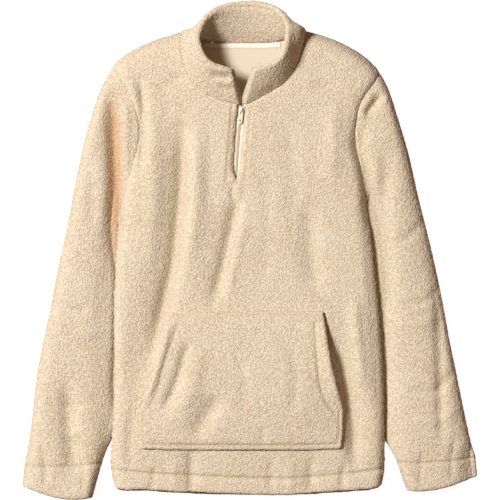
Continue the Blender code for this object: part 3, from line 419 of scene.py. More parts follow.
@dataclass(frozen=True)
class PlainFinish:
    """An even finish: thread, coil, metal or floor."""

    name: str
    colour: Colour
    roughness: float
    metallic: float = 0.0
    grain: float = 0.0
    glow: float = 0.0

    def make(self) -> bpy.types.Material:
        """Builds the material."""
        graph = Graph(self.name)
        inputs: dict[str, Any] = {
            "Base_Color": self.colour,
            "Roughness": self.roughness,
            "Metallic": self.metallic,
        }
        if self.grain:
            fine = graph.noise(graph.place(), 0.0012, 3.0)
            inputs["Roughness"] = fine * self.grain + (self.roughness - self.grain / 2)
            inputs["Normal"] = graph.bump(fine, 0.00003)
        if self.glow:
            inputs["Emission_Color"] = self.colour
            inputs["Emission_Strength"] = self.glow
        return graph.finish(**inputs)


def only(obj: bpy.types.Object) -> None:
    """Selects this object alone and makes it active."""
    bpy.ops.object.select_all(action="DESELECT")
    obj.select_set(True)
    bpy.context.view_layer.objects.active = obj


def apply_modifier(obj: bpy.types.Object, kind: str, **settings: Any) -> None:
    """Adds a modifier with these settings and applies it."""
    only(obj)
    modifier = obj.modifiers.new(kind.lower(), kind)
    for key, value in settings.items():
        setattr(modifier, key, value)
    bpy.ops.object.modifier_apply(modifier=modifier.name)


def node_copy(node: str, name: str, quads: bool) -> bpy.types.Object:
    """A merged copy of a CAD node's mesh under a new name.

    Args:
        node: the CAD node.
        name: the copy's name.
        quads: whether pairs of triangles are joined.

    Returns:
        The copy, at the origin.
    """
    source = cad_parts[node]
    made = bpy.data.objects.new(name, source.data.copy())
    bpy.context.scene.collection.objects.link(made)
    made.data.materials.clear()
    for layer in list(made.data.uv_layers):
        made.data.uv_layers.remove(layer)
    only(made)
    bpy.ops.object.mode_set(mode="EDIT")
    bpy.ops.mesh.select_all(action="SELECT")
    bpy.ops.mesh.remove_doubles(threshold=1e-5)
    if quads:
        bpy.ops.mesh.tris_convert_to_quads(
            face_threshold=math.radians(50),
            shape_threshold=math.radians(60),
        )
    bpy.ops.mesh.normals_make_consistent(inside=False)
    bpy.ops.object.mode_set(mode="OBJECT")
    return made


def hold_rims(obj: bpy.types.Object, angle: float = 50.0) -> None:
    """Creases the edges where faces meet sharply, so that subdividing keeps them in place.

    Args:
        obj: the object.
        angle: the least turn between the faces, in degrees.
    """
    only(obj)
    bpy.ops.object.mode_set(mode="EDIT")
    bpy.ops.mesh.select_mode(type="EDGE")
    bpy.ops.mesh.select_all(action="DESELECT")
    bpy.ops.mesh.edges_select_sharp(sharpness=math.radians(angle))
    bpy.ops.object.mode_set(mode="OBJECT")
    held = [float(edge.select) for edge in obj.data.edges]
    layer = obj.data.attributes.new("crease_edge", "FLOAT", "EDGE")
    layer.data.foreach_set("value", held)


def coordinates(obj: bpy.types.Object) -> np.ndarray:
    """The object's points in millimetres."""
    flat = np.empty(len(obj.data.vertices) * 3, np.float32)
    obj.data.vertices.foreach_get("co", flat)
    return flat.reshape(-1, 3).astype(float) / MM


def directions(obj: bpy.types.Object) -> np.ndarray:
    """The normal at each of the object's points."""
    flat = np.empty(len(obj.data.vertices) * 3, np.float32)
    obj.data.vertex_normals.foreach_get("vector", flat)
    return flat.reshape(-1, 3).astype(float)


def set_coordinates(obj: bpy.types.Object, points: np.ndarray) -> None:
    """Moves the object's points, given in millimetres."""
    obj.data.vertices.foreach_set("co", (points * MM).astype(np.float32).ravel())
    obj.data.update()


def surface_tree(mesh: bpy.types.Mesh) -> BVHTree:
    """A search tree over the mesh's faces."""
    corners = [vertex.co for vertex in mesh.vertices]
    return BVHTree.FromPolygons(corners, [tuple(polygon.vertices) for polygon in mesh.polygons])


@dataclass
class ClothPiece:
    """One cut piece of fleece: a fine copy of its solid with creases, seams and pile."""

    node: str
    voxel: float
    flat: tuple[float, float]
    area: float
    inside: Inside
    held: Held = Held.LAID
    rests_on: tuple[str, ...] = ("floor",)
    creases: tuple[Crease, ...] = ()
    seams: tuple[Seam, ...] = ()
    loft: float = 1.1
    upper_from: float = -1.0
    overlap: float = 0.9
    parted: Plan = ()
    lowest: float = 0.0
    pile_depth: float = 1.7
    soften: int = 5
    keep_inside: float = 0.6
    made: bpy.types.Object = field(default=None, repr=False)

    CLUMPS = (
        ("clumps", "VORONOI", 7.5, -0.22),
        ("nubs", "VORONOI", 4.4, -0.45),
        ("lumps", "CLOUDS", 26.0, 0.2),
    )
    # Crease depth in millimetres at which the painted fold shade is full.
    SUNK_AT = 9.0
    WALL = 5.2
    UPPER_BLEND = 2.5
    LOOK_FROM = 0.0012
    LOOK_TO = 0.09
    GROOVE = 2.4
    DEEPEST_SEAM = 1.6
    PART_TOP = 2.6
    PART_END = 2.2
    END_PULL = 1.2

    def build(self, pile: bpy.types.Material, reverse: bpy.types.Material) -> bpy.types.Object:
        """Makes the piece with its creases and pile, named after the solid it stands for, and hides that
        solid.

        Args:
            pile: the outer finish.
            reverse: the finish of the hidden face.

        Returns:
            The piece.
        """
        size = self.voxel * 1.0
        self.made = node_copy(self.node, self.node + "_fleece", True)
        hold_rims(self.made)
        apply_modifier(self.made, "SUBSURF", levels=1, render_levels=1)
        apply_modifier(self.made, "REMESH", mode="VOXEL", voxel_size=size * MM)
        apply_modifier(self.made, "SMOOTH", factor=0.5, iterations=self.soften)
        self._lay_creases()
        hidden = self._hidden_points()
        self._raise_pile(hidden)
        if self.keep_inside < 1.0 and self.inside is not Inside.NONE:
            self._thin_out(hidden)
        self._dress(pile, reverse)
        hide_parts(self.node)
        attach(self.made, "garment")
        LOG.info("%s: %d faces", self.made.name, len(self.made.data.polygons))
        return self.made

    def declare(self, stitching: Iterable[bpy.types.Object]) -> None:
        """Takes the piece's stitching and does nothing with it."""

    def _lay_creases(self) -> None:
        """Lifts or sinks the cloth along its creases, and stops the troughs at the lowest level."""
        points = coordinates(self.made)
        lift = self._lift(points[:, :2])
        if self.upper_from > 0.0:
            lift *= smooth_step((points[:, 2] - self.upper_from) / self.UPPER_BLEND)
        if self.lowest > 0.0:
            least = np.where(directions(self.made)[:, 2] > 0.0, self.lowest, self.lowest - self.WALL)
            lift = np.maximum(lift, np.minimum(least - points[:, 2], 0.0))
        points[:, 2] += lift
        set_coordinates(self.made, points)

    def _lift(self, plan: np.ndarray) -> np.ndarray:
        """How far the creases lift each plan point, in millimetres."""
        lift = np.zeros(len(plan))
        for crease in self.creases:
            lift += crease.height(plan)
        return lift

    def _hidden_points(self) -> np.ndarray:
        """1 for each point on the hidden face, 0 on the pile."""
        normals = directions(self.made)
        if self.inside is Inside.BELOW:
            return (normals[:, 2] < -0.15).astype(float)
        if self.inside is Inside.ABOVE:
            return (normals[:, 2] > 0.5).astype(float)
        if self.inside is Inside.NONE:
            return np.zeros(len(normals))
        tree = surface_tree(self.made.data)
        hidden = np.zeros(len(normals))
        points = coordinates(self.made) * MM
        for number, (point, normal) in enumerate(zip(points, normals)):
            way = Vector(normal)
            hit = tree.ray_cast(Vector(point) + way * self.LOOK_FROM, way, self.LOOK_TO)
            hidden[number] = hit[0] is not None
        return hidden

    def _press(self, plan: np.ndarray) -> np.ndarray:
        """How strongly the seams press each plan point, from 0 to 1."""
        pressed = np.zeros(len(plan))
        for seam in self.seams:
            pressed = np.maximum(pressed, seam.press(plan) * seam.depth / self.DEEPEST_SEAM)
        return np.clip(pressed, 0.0, 1.0)

    def _raise_pile(self, hidden: np.ndarray) -> None:
        """Swells the pile's side, draws its rims over the seams and roughens it with clumps."""
        points = coordinates(self.made)
        normals = directions(self.made)
        pile = 1.0 - hidden
        pressed = self._press(points[:, :2]) * (normals[:, 2] > 0.1)
        rests = smooth_step((points[:, 2] - 0.2) / 1.5)
        outward = pile * np.minimum(1.0, np.maximum(rests, normals[:, 2] > -0.6))
        points += normals * (outward * (self.loft - self.GROOVE * pressed))[:, None]
        rim = smooth_step((0.6 - np.abs(normals[:, 2])) / 0.25)
        points[:, :2] += normals[:, :2] * (rim * self.overlap)[:, None]
        if self.parted:
            self._part(points)
        set_coordinates(self.made, points)
        group = self.made.vertex_groups.new(name="pile")
        for weight in np.linspace(0.125, 1.0, 8):
            near = np.abs(outward * (1.0 - 0.75 * pressed) - weight) <= 0.0625
            group.add(np.flatnonzero(near).tolist(), float(weight), "REPLACE")
        for name, kind, size, share in self.CLUMPS:
            texture = bpy.data.textures.new(self.node + "_" + name, kind)
            texture.noise_scale = size * MM
            apply_modifier(
                self.made,
                "DISPLACE",
                texture=texture,
                texture_coords="LOCAL",
                direction="NORMAL",
                vertex_group="pile",
                mid_level=0.45,
                strength=share * self.pile_depth * MM,
            )

    def _part(self, points: np.ndarray) -> None:
        """Draws the cloth away from both sides of a slit, most at its edges, and shuts the slit's end."""
        curve = Curve(self.parted)
        gaps, along = curve.gaps(points[:, :2])
        middle = np.interp(along, curve.reach, curve.points[:, 0])
        side = np.sign(points[:, 0] - middle)
        width = np.interp(along, [0.0, curve.length], [self.PART_TOP, self.PART_END])
        near = np.exp(-((np.maximum(gaps - 3.0, 0.0) / 9.0) ** 2))
        above_end = points[:, 1] - curve.points[-1, 1]
        near *= smooth_step((above_end - 1.0) / 12.0)
        points[:, 0] += side * width * near
        closing = np.exp(-(((above_end + 1.5) / 4.0) ** 2)) * (gaps < 4.0)
        points[:, 0] -= side * np.minimum(self.END_PULL, np.abs(points[:, 0] - middle)) * closing

    def _thin_out(self, hidden: np.ndarray) -> None:
        """Takes away some of the hidden face's triangles."""
        group = self.made.vertex_groups.new(name="hidden")
        group.add(np.flatnonzero(hidden > 0.5).tolist(), 1.0, "REPLACE")
        share = float((hidden > 0.5).mean())
        apply_modifier(
            self.made,
            "DECIMATE",
            ratio=1.0 - share * (1.0 - self.keep_inside),
            vertex_group="hidden",
        )

    def _dress(self, pile: bpy.types.Material, reverse: bpy.types.Material) -> None:
        """Stores what the pile's material reads, and gives each face its finish."""
        mesh = self.made.data
        points = coordinates(self.made)
        pressed = self._press(points[:, :2]) * (directions(self.made)[:, 2] > 0.0)
        # Painted shade in the folds: how far the creases sink each point, as a share of the full depth.
        painted_fold_shade_mask = np.clip(-self._lift(points[:, :2]) / self.SUNK_AT, 0.0, 1.0)
        # Painted warm-brown shade along the creases that carry it.
        warm_tone_and_painted_warm_shade = np.zeros(len(points))
        for crease in self.creases:
            if crease.painted_warm_shade_share:
                warm_tone_and_painted_warm_shade = np.maximum(warm_tone_and_painted_warm_shade, crease.painted_warm_shade_share * crease.height(points[:, :2]) / crease.depth)
        for name, values in (("pressed", pressed), ("painted_fold_shade_mask", painted_fold_shade_mask), ("warm_tone_and_painted_warm_shade", warm_tone_and_painted_warm_shade)):
            layer = mesh.attributes.new(name, "FLOAT", "POINT")
            layer.data.foreach_set("value", values.astype(np.float32))
        mesh.materials.append(pile)
        mesh.materials.append(reverse)
        hidden = self._hidden_points()
        sides = []
        for polygon in mesh.polygons:
            share = np.mean([hidden[corner] for corner in polygon.vertices])
            sides.append(int(share > 0.5))
        mesh.polygons.foreach_set("material_index", sides)
        mesh.polygons.foreach_set("use_smooth", [True] * len(mesh.polygons))
        mesh.update()


@dataclass
class Repeats:
    """One small piece, modelled once and copied along a path, then joined."""

    name: str
    size: tuple[float, float, float]
    slot: str

    def _seed(self, material: bpy.types.Material) -> bpy.types.Object:
        """A small rounded bead, stretched to size, lying along X."""
        bpy.ops.mesh.primitive_uv_sphere_add(segments=8, ring_count=5, radius=0.5)
        seed = bpy.context.active_object
        seed.scale = [extent * MM for extent in self.size]
        bpy.ops.object.transform_apply(location=False, rotation=False, scale=True)
        bpy.ops.object.shade_smooth()
        seed.data.materials.append(material)
        return seed

    def build(self, places: Sequence[Matrix], material: bpy.types.Material) -> bpy.types.Object:
        """Copies the piece to every place and joins the copies.

        Args:
            places: a matrix for each copy.
            material: the finish.

        Returns:
            The joined object, at the origin.
        """
        seed = self._seed(material)
        copies = []
        for place in places:
            copy = seed.copy()
            copy.data = seed.data.copy()
            copy.matrix_world = place
            bpy.context.scene.collection.objects.link(copy)
            copies.append(copy)
        bpy.data.objects.remove(seed)
        bpy.ops.object.select_all(action="DESELECT")
        for copy in copies:
            copy.select_set(True)
        bpy.context.view_layer.objects.active = copies[0]
        bpy.ops.object.join()
        bpy.ops.object.transform_apply(location=True, rotation=True, scale=True)
        joined = bpy.context.active_object
        joined.name = self.name
        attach(joined, "garment")
        LOG.info("%s: %d copies", self.name, len(places))
        return joined


def facing(place: Vector, along: Vector, up: Vector) -> Matrix:
    """A matrix at a place with X along the run and Z up from the surface."""
    along = along.normalized()
    side = up.cross(along).normalized()
    up = along.cross(side).normalized()
    turned = Matrix((along, side, up)).transposed().to_4x4()
    return Matrix.Translation(place) @ turned


class Sewing:
    """Rows of stitches laid on the dressed cloth along its seams."""

    STITCH = (2.3, 0.75, 0.6)
    SINK = 0.1
    DROP_FROM = 0.2
    LONGEST_STEP = 4.0

    def __init__(self, thread: bpy.types.Material) -> None:
        self.thread = thread

    def row(self, name: str, target: bpy.types.Object, seams: Sequence[Seam]) -> bpy.types.Object:
        """Stitches along every seam of one piece.

        Args:
            name: the new object's name.
            target: the cloth piece that the stitches lie on.
            seams: the seams.

        Returns:
            The stitches as one object.
        """
        tree = surface_tree(target.data)
        places = []
        for seam in seams:
            if seam.stitched:
                places += self._along(tree, seam)
        return Repeats(name, self.STITCH, "tape").build(places, self.thread)

    def _along(self, tree: BVHTree, seam: Seam) -> list[Matrix]:
        """A matrix for each stitch of one seam, dropped onto the cloth from above."""
        curve = Curve(seam.path)
        count = int(curve.length / seam.pitch)
        spots = []
        for step in range(count):
            plan = curve.at((step + 0.5) * seam.pitch)
            start = Vector((*plan * MM, self.DROP_FROM))
            hit, normal, _, _ = tree.ray_cast(start, Vector((0.0, 0.0, -1.0)))
            if hit is not None:
                spots.append((hit, normal))
        found = []
        for number, (hit, normal) in enumerate(spots):
            ahead = spots[min(number + 1, len(spots) - 1)][0]
            behind = spots[max(number - 1, 0)][0]
            run = ahead - behind
            if run.length > self.LONGEST_STEP * seam.pitch * MM or run.length < 1e-6:
                continue
            found.append(facing(hit - normal * self.SINK * MM, run, normal))
        return found


ZIP_LINE = ((-12.5, 231.3), (-15.5, 198.3), (-19.5, 149.3), (-21.5, 115.3))

FRONT_SEAMS = (
    Seam(((-219, -352), (-159, -358), (-63, -363), (-5, -365), (65, -366), (145, -360), (211, -351))),
    Seam(((-27, 228), (-30, 198), (-34, 149), (-37, 108)), depth=1.2, half_width=2.2),
    Seam(((2, 226), (-1, 198), (-5, 149), (-8, 108)), depth=0.7, half_width=2.0),
    Seam(((-34, 105.5), (-27, 105)), depth=1.6, half_width=2.2, pitch=0.9),
    Seam(((-25, 106), (-19, 106.5)), depth=1.6, half_width=2.2, pitch=0.9),
)

FRONT_CREASES = (
    Crease(-3.2, 6, ((-18, 232), (-21, 199), (-25, 149), (-27, 112))),
    Crease(-2.4, 6, ((-9, 232), (-12, 199), (-16, 149), (-18, 112))),
    Crease(
        -13.0,
        13,
        ((-105, 224), (-107, 160), (-109, 94), (-114, 40), (-121, -17), (-130, -58), (-162, -193)),
    ),
    Crease(2.4, 13, ((-152, 200), (-152, 60), (-160, -40))),
    Crease(3.4, 14, ((-86, 196), (-88, 60), (-100, -24))),
    Crease(-8.5, 11, ((-16, 97), (-31, 23), (-45, -38), (-61, -95))),
    Crease(2.4, 9, ((-6, 60), (-24, -10), (-34, -70))),
    Crease(-8.5, 8, ((-178, 280), (-171, 243), (-170, 205), (-171, 165), (-176, 120))),
    Crease(-8.5, 9, ((172, 206), (170, 165), (179, 132), (189, 76), (197, 20))),
    Crease(-11.0, 12, ((-217, 215), (-214, 150), (-212, 100), (-211, 40), (-211, -10))),
    Crease(-2.5, 8, ((178, 90), (187, 10), (199, -140), (206, -290))),
    Crease(2.6, 12, ((136, 236), (134, 170), (130, 104))),
    Crease(-4.6, 16, ((94, 84), (98, 0), (108, -76))),
    Crease(4.5, 9, ((165, -70), (174, -160), (181, -236))),
    Crease(-10.5, 12, ((136, -140), (154, -215), (163, -262), (166, -300), (167, -356))),
    Crease(-2.2, 5, ((-27, 104), (-28, 92), (-26, 78))),
    Crease(1.8, 6, ((-17, 104), (-18, 90), (-16, 76))),
    Crease(-1.6, 12, ((-60, 186), (-67, 120), (-63, 52))),
    Crease(-2.0, 13, ((58, 206), (70, 120), (66, 24))),
    Crease(-1.5, 11, ((22, 132), (31, 40), (20, -62))),
    Crease(-1.7, 9, ((-150, 250), (-120, 268), (-98, 276))),
    Crease(-1.5, 9, ((146, 262), (118, 262), (96, 254))),
    Crease(-4.5, 9, ((-94, -318), (-93, -392))),
    Crease(-2.2, 7, ((33, -330), (35, -392))),
    Crease(-2.4, 8, ((98, -330), (97, -390))),
    Crease(-2.6, 6, ((151, -340), (147, -386))),
    Crease(-2.2, 6, ((-152, -344), (-155, -386))),
    Crease(1.6, 7, ((-122, -334), (-120, -388))),
    Crease(1.4, 8, ((64, -334), (66, -390))),
    Crease(-2.6, 9, ((-186, -250), (-192, -310), (-188, -352))),
)

SLEEVE_RIGHT_CREASES = (
    # The first crease, the valley beside the body, carries painted warm-brown shade.
    Crease(-12.0, 12, ((-222, 262), (-219, 215), (-216, 150), (-215, 100), (-213, 40), (-212, -40)), 0.9),
    Crease(-9.0, 8, ((-210, 60), (-208, 10), (-209, -60), (-212, -160), (-217, -280))),
    Crease(3.8, 8, ((-199, 236), (-198, 180), (-203, 118))),
    Crease(-2.4, 9, ((-298, 24), (-268, -4), (-236, -18))),
    Crease(-2.8, 8, ((-316, -78), (-288, -98), (-252, -96))),
    Crease(2.0, 9, ((-312, -112), (-280, -138), (-240, -134))),
    Crease(-6.0, 13, ((-292, -200), (-287, -300), (-279, -366))),
    Crease(-2.6, 8, ((-338, -216), (-302, -250), (-254, -246))),
    Crease(1.8, 8, ((-340, -268), (-306, -296), (-262, -290))),
    Crease(-2.4, 6, ((-334, -306), (-326, -348), (-328, -382))),
    Crease(-1.8, 5, ((-268, -330), (-266, -388))),
    Crease(-2.0, 10, ((-262, 160), (-252, 92), (-250, 30))),
)

SLEEVE_LEFT_CREASES = (
    Crease(-10.5, 10, ((188, 212), (178, 165), (185, 130), (194, 75), (203, 10), (212, -120), (220, -290))),
    Crease(-6.5, 7, ((214, 250), (199, 232), (182, 212))),
    Crease(3.4, 7, ((196, 250), (184, 228), (180, 206))),
    Crease(-7.0, 12, ((222, 162), (214, 81), (216, 0), (220, -120))),
    Crease(-2.4, 8, ((282, 52), (254, 20), (222, 8))),
    Crease(-2.2, 7, ((306, -60), (274, -86), (236, -84))),
    Crease(1.8, 9, ((306, -104), (270, -120), (228, -112))),
    Crease(-3.0, 8, ((330, -190), (296, -226), (246, -222))),
    Crease(1.8, 8, ((338, -244), (300, -276), (252, -268))),
    Crease(-5.0, 9, ((297, -46), (303, -160), (306, -326))),
    Crease(-2.2, 6, ((330, -296), (322, -336), (324, -372))),
    Crease(-2.0, 5, ((276, -318), (272, -382))),
    Crease(-7.0, 20, ((356, -312), (354, -346), (348, -380))),
)

POCKET_SEAMS = (
    Seam(((-115, -121), (-132, -170), (-146, -220), (-158, -250)), depth=0.8),
    Seam(((104, -118), (107, -170), (112, -214), (121, -240), (138, -262)), depth=1.4),
    Seam(((-121, -107.5), (-60, -106.5), (40, -104.5), (113, -104.5)), depth=1.1),
    Seam(((-169, -258), (-171, -285), (-168, -311)), depth=1.2),
    Seam(((143, -258), (143, -286), (140, -311)), depth=1.2),
    Seam(((-167, -311), (-90, -312), (60, -312), (139, -311)), depth=1.4),
    Seam(((-48, -103.5), (-43, -103.5)), depth=1.6, pitch=0.9),
)

POCKET_CREASES = (
    Crease(-7.5, 9, ((-97, -140), (-111, -195), (-136, -262))),
    Crease(3.0, 12, ((-76, -150), (-90, -215), (-112, -262))),
    Crease(-6.0, 15, ((-46, -232), (-69, -264), (-90, -300))),
    Crease(-2.0, 9, ((60, -140), (74, -200), (66, -270))),
    Crease(1.4, 10, ((-96, -130), (-112, -190), (-130, -240))),
    Crease(-1.4, 9, ((-20, -150), (-8, -210), (-14, -280))),
    Crease(-1.3, 6, ((20, -280), (22, -312))),
    Crease(4.0, 9, ((117, -112), (121, -150), (128, -192), (140, -232), (150, -250))),
    Crease(4.6, 8, ((-127, -110), (-140, -160), (-152, -200), (-168, -244))),
)

CUFF_SEAMS = {
    "right": (Seam(((-361, -346), (-330, -348), (-300, -348), (-268, -346), (-238, -342)), depth=1.5),),
    "left": (Seam(((361, -333), (330, -338), (300, -340), (268, -342), (236, -341)), depth=1.5),),
}

BACK_CREASES = (
    Crease(0.8, 10, ((-60, 300), (-40, 270), (-30, 230))),
    Crease(-0.9, 12, ((30, 300), (20, 240), (34, 160))),
    Crease(-0.8, 10, ((-40, 100), (-30, 0), (-50, -120))),
)

COLLAR_CREASES = (
    Crease(2.8, 4, ((-68, 292), (-52, 285), (-38, 284), (-28, 284))),
    Crease(-3.4, 6, ((-64, 279), (-47, 274), (-27, 273))),
    Crease(1.8, 4, ((-56, 268), (-42, 264), (-26, 262))),
    Crease(-2.2, 5, ((-50, 262), (-38, 257), (-25, 254))),
    Crease(2.0, 6, ((-66, 296), (-62, 330), (-52, 362))),
    Crease(-2.0, 8, ((72, 300), (70, 340), (62, 372))),
    Crease(-2.4, 6, ((46, 262), (30, 254), (14, 246))),
)

COLLAR_SEAMS = (Seam(((-46, 384), (-20, 386.5), (12, 386), (34, 380)), depth=1.0, half_width=2.0),)

PIECES = {
    "front": ClothPiece(
        "front",
        2.35,
        (0.47, 0.76),
        0.30,
        Inside.BELOW,
        creases=FRONT_CREASES,
        seams=FRONT_SEAMS,
        parted=ZIP_LINE,
        lowest=11.5,
    ),
    "back": ClothPiece(
        "back",
        3.0,
        (0.46, 0.75),
        0.32,
        Inside.ABOVE,
        creases=BACK_CREASES,
        keep_inside=1.0,
        upper_from=3.0,
        overlap=3.6,
    ),
    "sleeve_right": ClothPiece(
        "sleeve_wearer_right",
        2.0,
        (0.46, 0.68),
        0.175,
        Inside.HOLLOW,
        held=Held.FOLDED,
        creases=SLEEVE_RIGHT_CREASES,
        seams=CUFF_SEAMS["right"],
        upper_from=5.0,
        lowest=8.5,
    ),
    "sleeve_left": ClothPiece(
        "sleeve_wearer_left",
        2.0,
        (0.46, 0.68),
        0.175,
        Inside.HOLLOW,
        held=Held.FOLDED,
        creases=SLEEVE_LEFT_CREASES,
        seams=CUFF_SEAMS["left"],
        upper_from=5.0,
        lowest=8.5,
    ),
    "collar": ClothPiece(
        "collar",
        1.8,
        (0.5, 0.08),
        0.03,
        Inside.NONE,
        held=Held.FOLDED,
        creases=COLLAR_CREASES,
        seams=COLLAR_SEAMS,
        loft=0.6,
        upper_from=30.0,
    ),
    "pocket": ClothPiece(
        "pocket",
        1.9,
        (0.33, 0.235),
        0.066,
        Inside.BELOW,
        rests_on=("front_fleece",),
        creases=POCKET_CREASES,
        seams=POCKET_SEAMS,
    ),
}


class Zip:
    """The zip: two tapes with coil teeth, a slider and a pull tab."""

    PITCH = 1.4
    TOOTH = (2.4, 0.95, 1.5)
    TAPE_TOP = 24.7
    SLIDER_Y = 222.3
    SLIDER_HALF = 6.0
    FIRST_LEVEL = 29.0
    LAST_LEVEL = 62.0
    LEVEL_STEP = 3.0
    EDGE_REACH = 0.4
    FROM_MIDDLE = 0.55
    PAST_EDGE = 0.4

    def __init__(
        self,
        woven: bpy.types.Material,
        coil: bpy.types.Material,
        metal: bpy.types.Material,
    ) -> None:
        self.woven = woven
        self.coil = coil
        self.metal = metal

    def build(self) -> None:
        """Makes every piece of the zip."""
        for side, outward in (("wearer_right", -1.0), ("wearer_left", 1.0)):
            tape = self._tape(side)
            teeth = self._teeth(side, outward)
        self._hard("slider", "garment", 0.22)
        self._hard("pull", "pull_tab", 0.3)

    def _tape(self, side: str) -> bpy.types.Object:
        """The woven tape of one side."""
        tape = node_copy("zip_tape_" + side, "zip_tape_woven_" + side, True)
        apply_modifier(tape, "SUBSURF", levels=2, render_levels=2, subdivision_type="SIMPLE")
        apply_modifier(tape, "SMOOTH", factor=0.5, iterations=2)
        only(tape)
        bpy.ops.object.shade_smooth_by_angle(angle=math.radians(40))
        tape.data.materials.append(self.woven)
        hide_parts("zip_tape_" + side)
        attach(tape, "garment")
        return tape

    def _edge(self, side: str, outward: float) -> list[np.ndarray]:
        """The tape's free edge up the collar, from the seam to the top."""
        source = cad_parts["zip_tape_" + side]
        points = coordinates(source)
        rows = points[np.array([tuple(polygon.vertices) for polygon in source.data.polygons])]
        starts = rows.reshape(-1, 3)
        ends = rows[:, [1, 2, 0]].reshape(-1, 3)
        found = []
        for level in np.arange(self.FIRST_LEVEL, self.LAST_LEVEL, self.LEVEL_STEP):
            crossing = (starts[:, 2] - level) * (ends[:, 2] - level) < 0
            if not crossing.any():
                continue
            low = starts[crossing]
            high = ends[crossing]
            share = (level - low[:, 2]) / (high[:, 2] - low[:, 2])
            cut = low + (high - low) * share[:, None]
            reach = cut[:, 0] * outward
            found.append(cut[reach < reach.min() + self.EDGE_REACH].mean(axis=0))
        return found

    def _teeth(self, side: str, outward: float) -> bpy.types.Object:
        """The coil teeth of one side, down the closed stretch and up the collar's edge."""
        line = Curve(ZIP_LINE)
        phase = 0.5 if outward > 0 else 0.0
        places = []
        closed_from = self.SLIDER_Y - self.SLIDER_HALF
        for step in range(int(line.length / self.PITCH)):
            spot = line.at((step + phase) * self.PITCH)
            if spot[1] > closed_from:
                continue
            spot = Vector((spot[0] + outward * self.FROM_MIDDLE, spot[1], self.TAPE_TOP - 0.2)) * MM
            places.append(facing(spot, Vector((1.0, 0.0, 0.0)), Vector((0.0, 0.0, 1.0))))
        edge = [np.array([line.at(0.0)[0] + outward * 2.0, self.SLIDER_Y + 6.0, self.TAPE_TOP - 0.3])]
        edge += self._edge(side, outward)
        curve = Curve(edge)
        for step in range(int(curve.length / self.PITCH)):
            spot = curve.at(step * self.PITCH)
            run = Vector(curve.at(step * self.PITCH + 1.0) - spot)
            across = Vector((-outward, 0.0, 0.0))
            across -= run.normalized() * across.dot(run.normalized())
            spot = Vector(spot + np.array([-outward * self.PAST_EDGE, 0.0, 0.0])) * MM
            places.append(facing(spot, across, across.cross(run)))
        return Repeats("zip_teeth_" + side, self.TOOTH, "tape").build(places, self.coil)

    def _hard(self, node: str, body: str, bevel: float) -> None:
        """A metal piece with rounded edges."""
        made = node_copy(node, node + "_metal", False)
        bpy.ops.object.mode_set(mode="EDIT")
        bpy.ops.mesh.select_all(action="SELECT")
        bpy.ops.mesh.dissolve_limited(angle_limit=math.radians(1))
        bpy.ops.object.mode_set(mode="OBJECT")
        apply_modifier(
            made,
            "BEVEL",
            width=bevel * MM,
            segments=3,
            limit_method="ANGLE",
            angle_limit=math.radians(40),
        )
        only(made)
        bpy.ops.object.shade_smooth_by_angle(angle=math.radians(35))
        made.data.materials.append(self.metal)
        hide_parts(node)
        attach(made, body)
        LOG.info("%s: %d faces", made.name, len(made.data.polygons))


class NeckTape:
    """The twill tape that covers the back neck seam."""

    ROWS = (
        Seam(((-72, 330.2), (-40, 330.0), (0, 330.0), (52, 332.0)), pitch=2.6),
        Seam(((-72, 325.9), (-40, 325.6), (0, 325.6), (52, 327.4)), pitch=2.6),
    )

    def build(self, woven: bpy.types.Material, sewing: Sewing) -> None:
        """Makes the tape with its two rows of stitches."""
        tape = node_copy("neck_tape", "neck_tape_woven", True)
        apply_modifier(tape, "SUBSURF", levels=3, render_levels=3, subdivision_type="SIMPLE")
        only(tape)
        bpy.ops.object.shade_smooth_by_angle(angle=math.radians(40))
        tape.data.materials.append(woven)
        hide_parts("neck_tape")
        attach(tape, "garment")
        stitches = sewing.row("neck_tape_stitching", tape, self.ROWS)


@dataclass(frozen=True)
class Lamp:
    """One soft area light, aimed at the garment."""

    name: str
    place: tuple[float, float, float]
    size: float
    power: float
    colour: Colour = (1.0, 1.0, 1.0)

    def build(self) -> None:
        """Adds the light."""
        data = bpy.data.lights.new(self.name, "AREA")
        data.size = self.size
        data.energy = self.power
        data.color = self.colour
        made = bpy.data.objects.new(self.name, data)
        made.location = self.place
        made.rotation_euler = (-Vector(self.place)).to_track_quat("-Z", "Y").to_euler()
        bpy.context.scene.collection.objects.link(made)


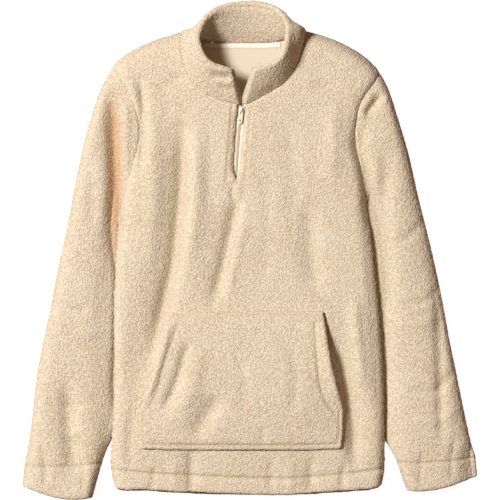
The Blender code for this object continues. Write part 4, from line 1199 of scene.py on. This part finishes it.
class Studio:
    """The pale floor, the lights and the camera straight above."""

    LAMPS = (Lamp("key", (-3.9, 1.7, 5.6), 1.5, 675.0),)
    WORLD = 0.17
    WORLD_COLOUR = (1.0, 0.56, 0.34, 1.0)
    CAMERA_PLACE = (0.0005, -0.0007, 4.46)
    LENS = 200.0
    FLOOR_SIZE = 12.0
    FLOOR_GLOW = 2.3

    def build(self) -> None:
        """Adds everything that isn't the garment."""
        bpy.ops.mesh.primitive_plane_add(size=self.FLOOR_SIZE)
        floor = bpy.context.active_object
        floor.name = "floor"
        paper = PlainFinish("paper", (0.4, 0.4, 0.4), 0.9, glow=self.FLOOR_GLOW)
        floor.data.materials.append(paper.make())
        floor.visible_diffuse = False
        for lamp in self.LAMPS:
            lamp.build()
        world = bpy.data.worlds.new("sky")
        world.use_nodes = True
        world.node_tree.nodes["Background"].inputs["Color"].default_value = self.WORLD_COLOUR
        world.node_tree.nodes["Background"].inputs["Strength"].default_value = self.WORLD
        bpy.context.scene.world = world
        data = bpy.data.cameras.new("camera")
        data.lens = self.LENS
        camera = bpy.data.objects.new("camera", data)
        camera.location = self.CAMERA_PLACE
        bpy.context.scene.collection.objects.link(camera)
        bpy.context.scene.camera = camera
        bpy.context.scene.view_settings.view_transform = "Standard"


def main() -> None:
    """Builds the pieces in the order that they are laid down."""
    logging.basicConfig(level=logging.INFO, format="%(message)s")
    # The crevice colour is painted shade between the nubs.
    pile = PileFinish("fleece_pile", tip=(0.805, 0.745, 0.61), painted_crevice_shade=(0.56, 0.44, 0.30)).make()
    reverse = KnitFinish("fleece_reverse", (0.74, 0.64, 0.50)).make()
    woven = WovenFinish("tape_twill", (0.85, 0.75, 0.62)).make()
    ribbon = WovenFinish("neck_twill", (0.95, 0.87, 0.77)).make()
    thread = PlainFinish("thread", (0.74, 0.62, 0.46), 0.7).make()
    coil = PlainFinish("coil", (0.74, 0.62, 0.46), 0.4).make()
    metal = PlainFinish("satin_metal", (0.80, 0.71, 0.58), 0.42, 0.45, grain=0.15).make()
    sewing = Sewing(thread)
    for name, piece in PIECES.items():
        made = piece.build(pile, reverse)
        stitches = [sewing.row(name + "_stitching", made, piece.seams)] if piece.seams else []
        piece.declare(stitches)
    Zip(woven, coil, metal).build()
    NeckTape().build(ribbon, sewing)
    Studio().build()


if __name__ == "__main__":
    main()
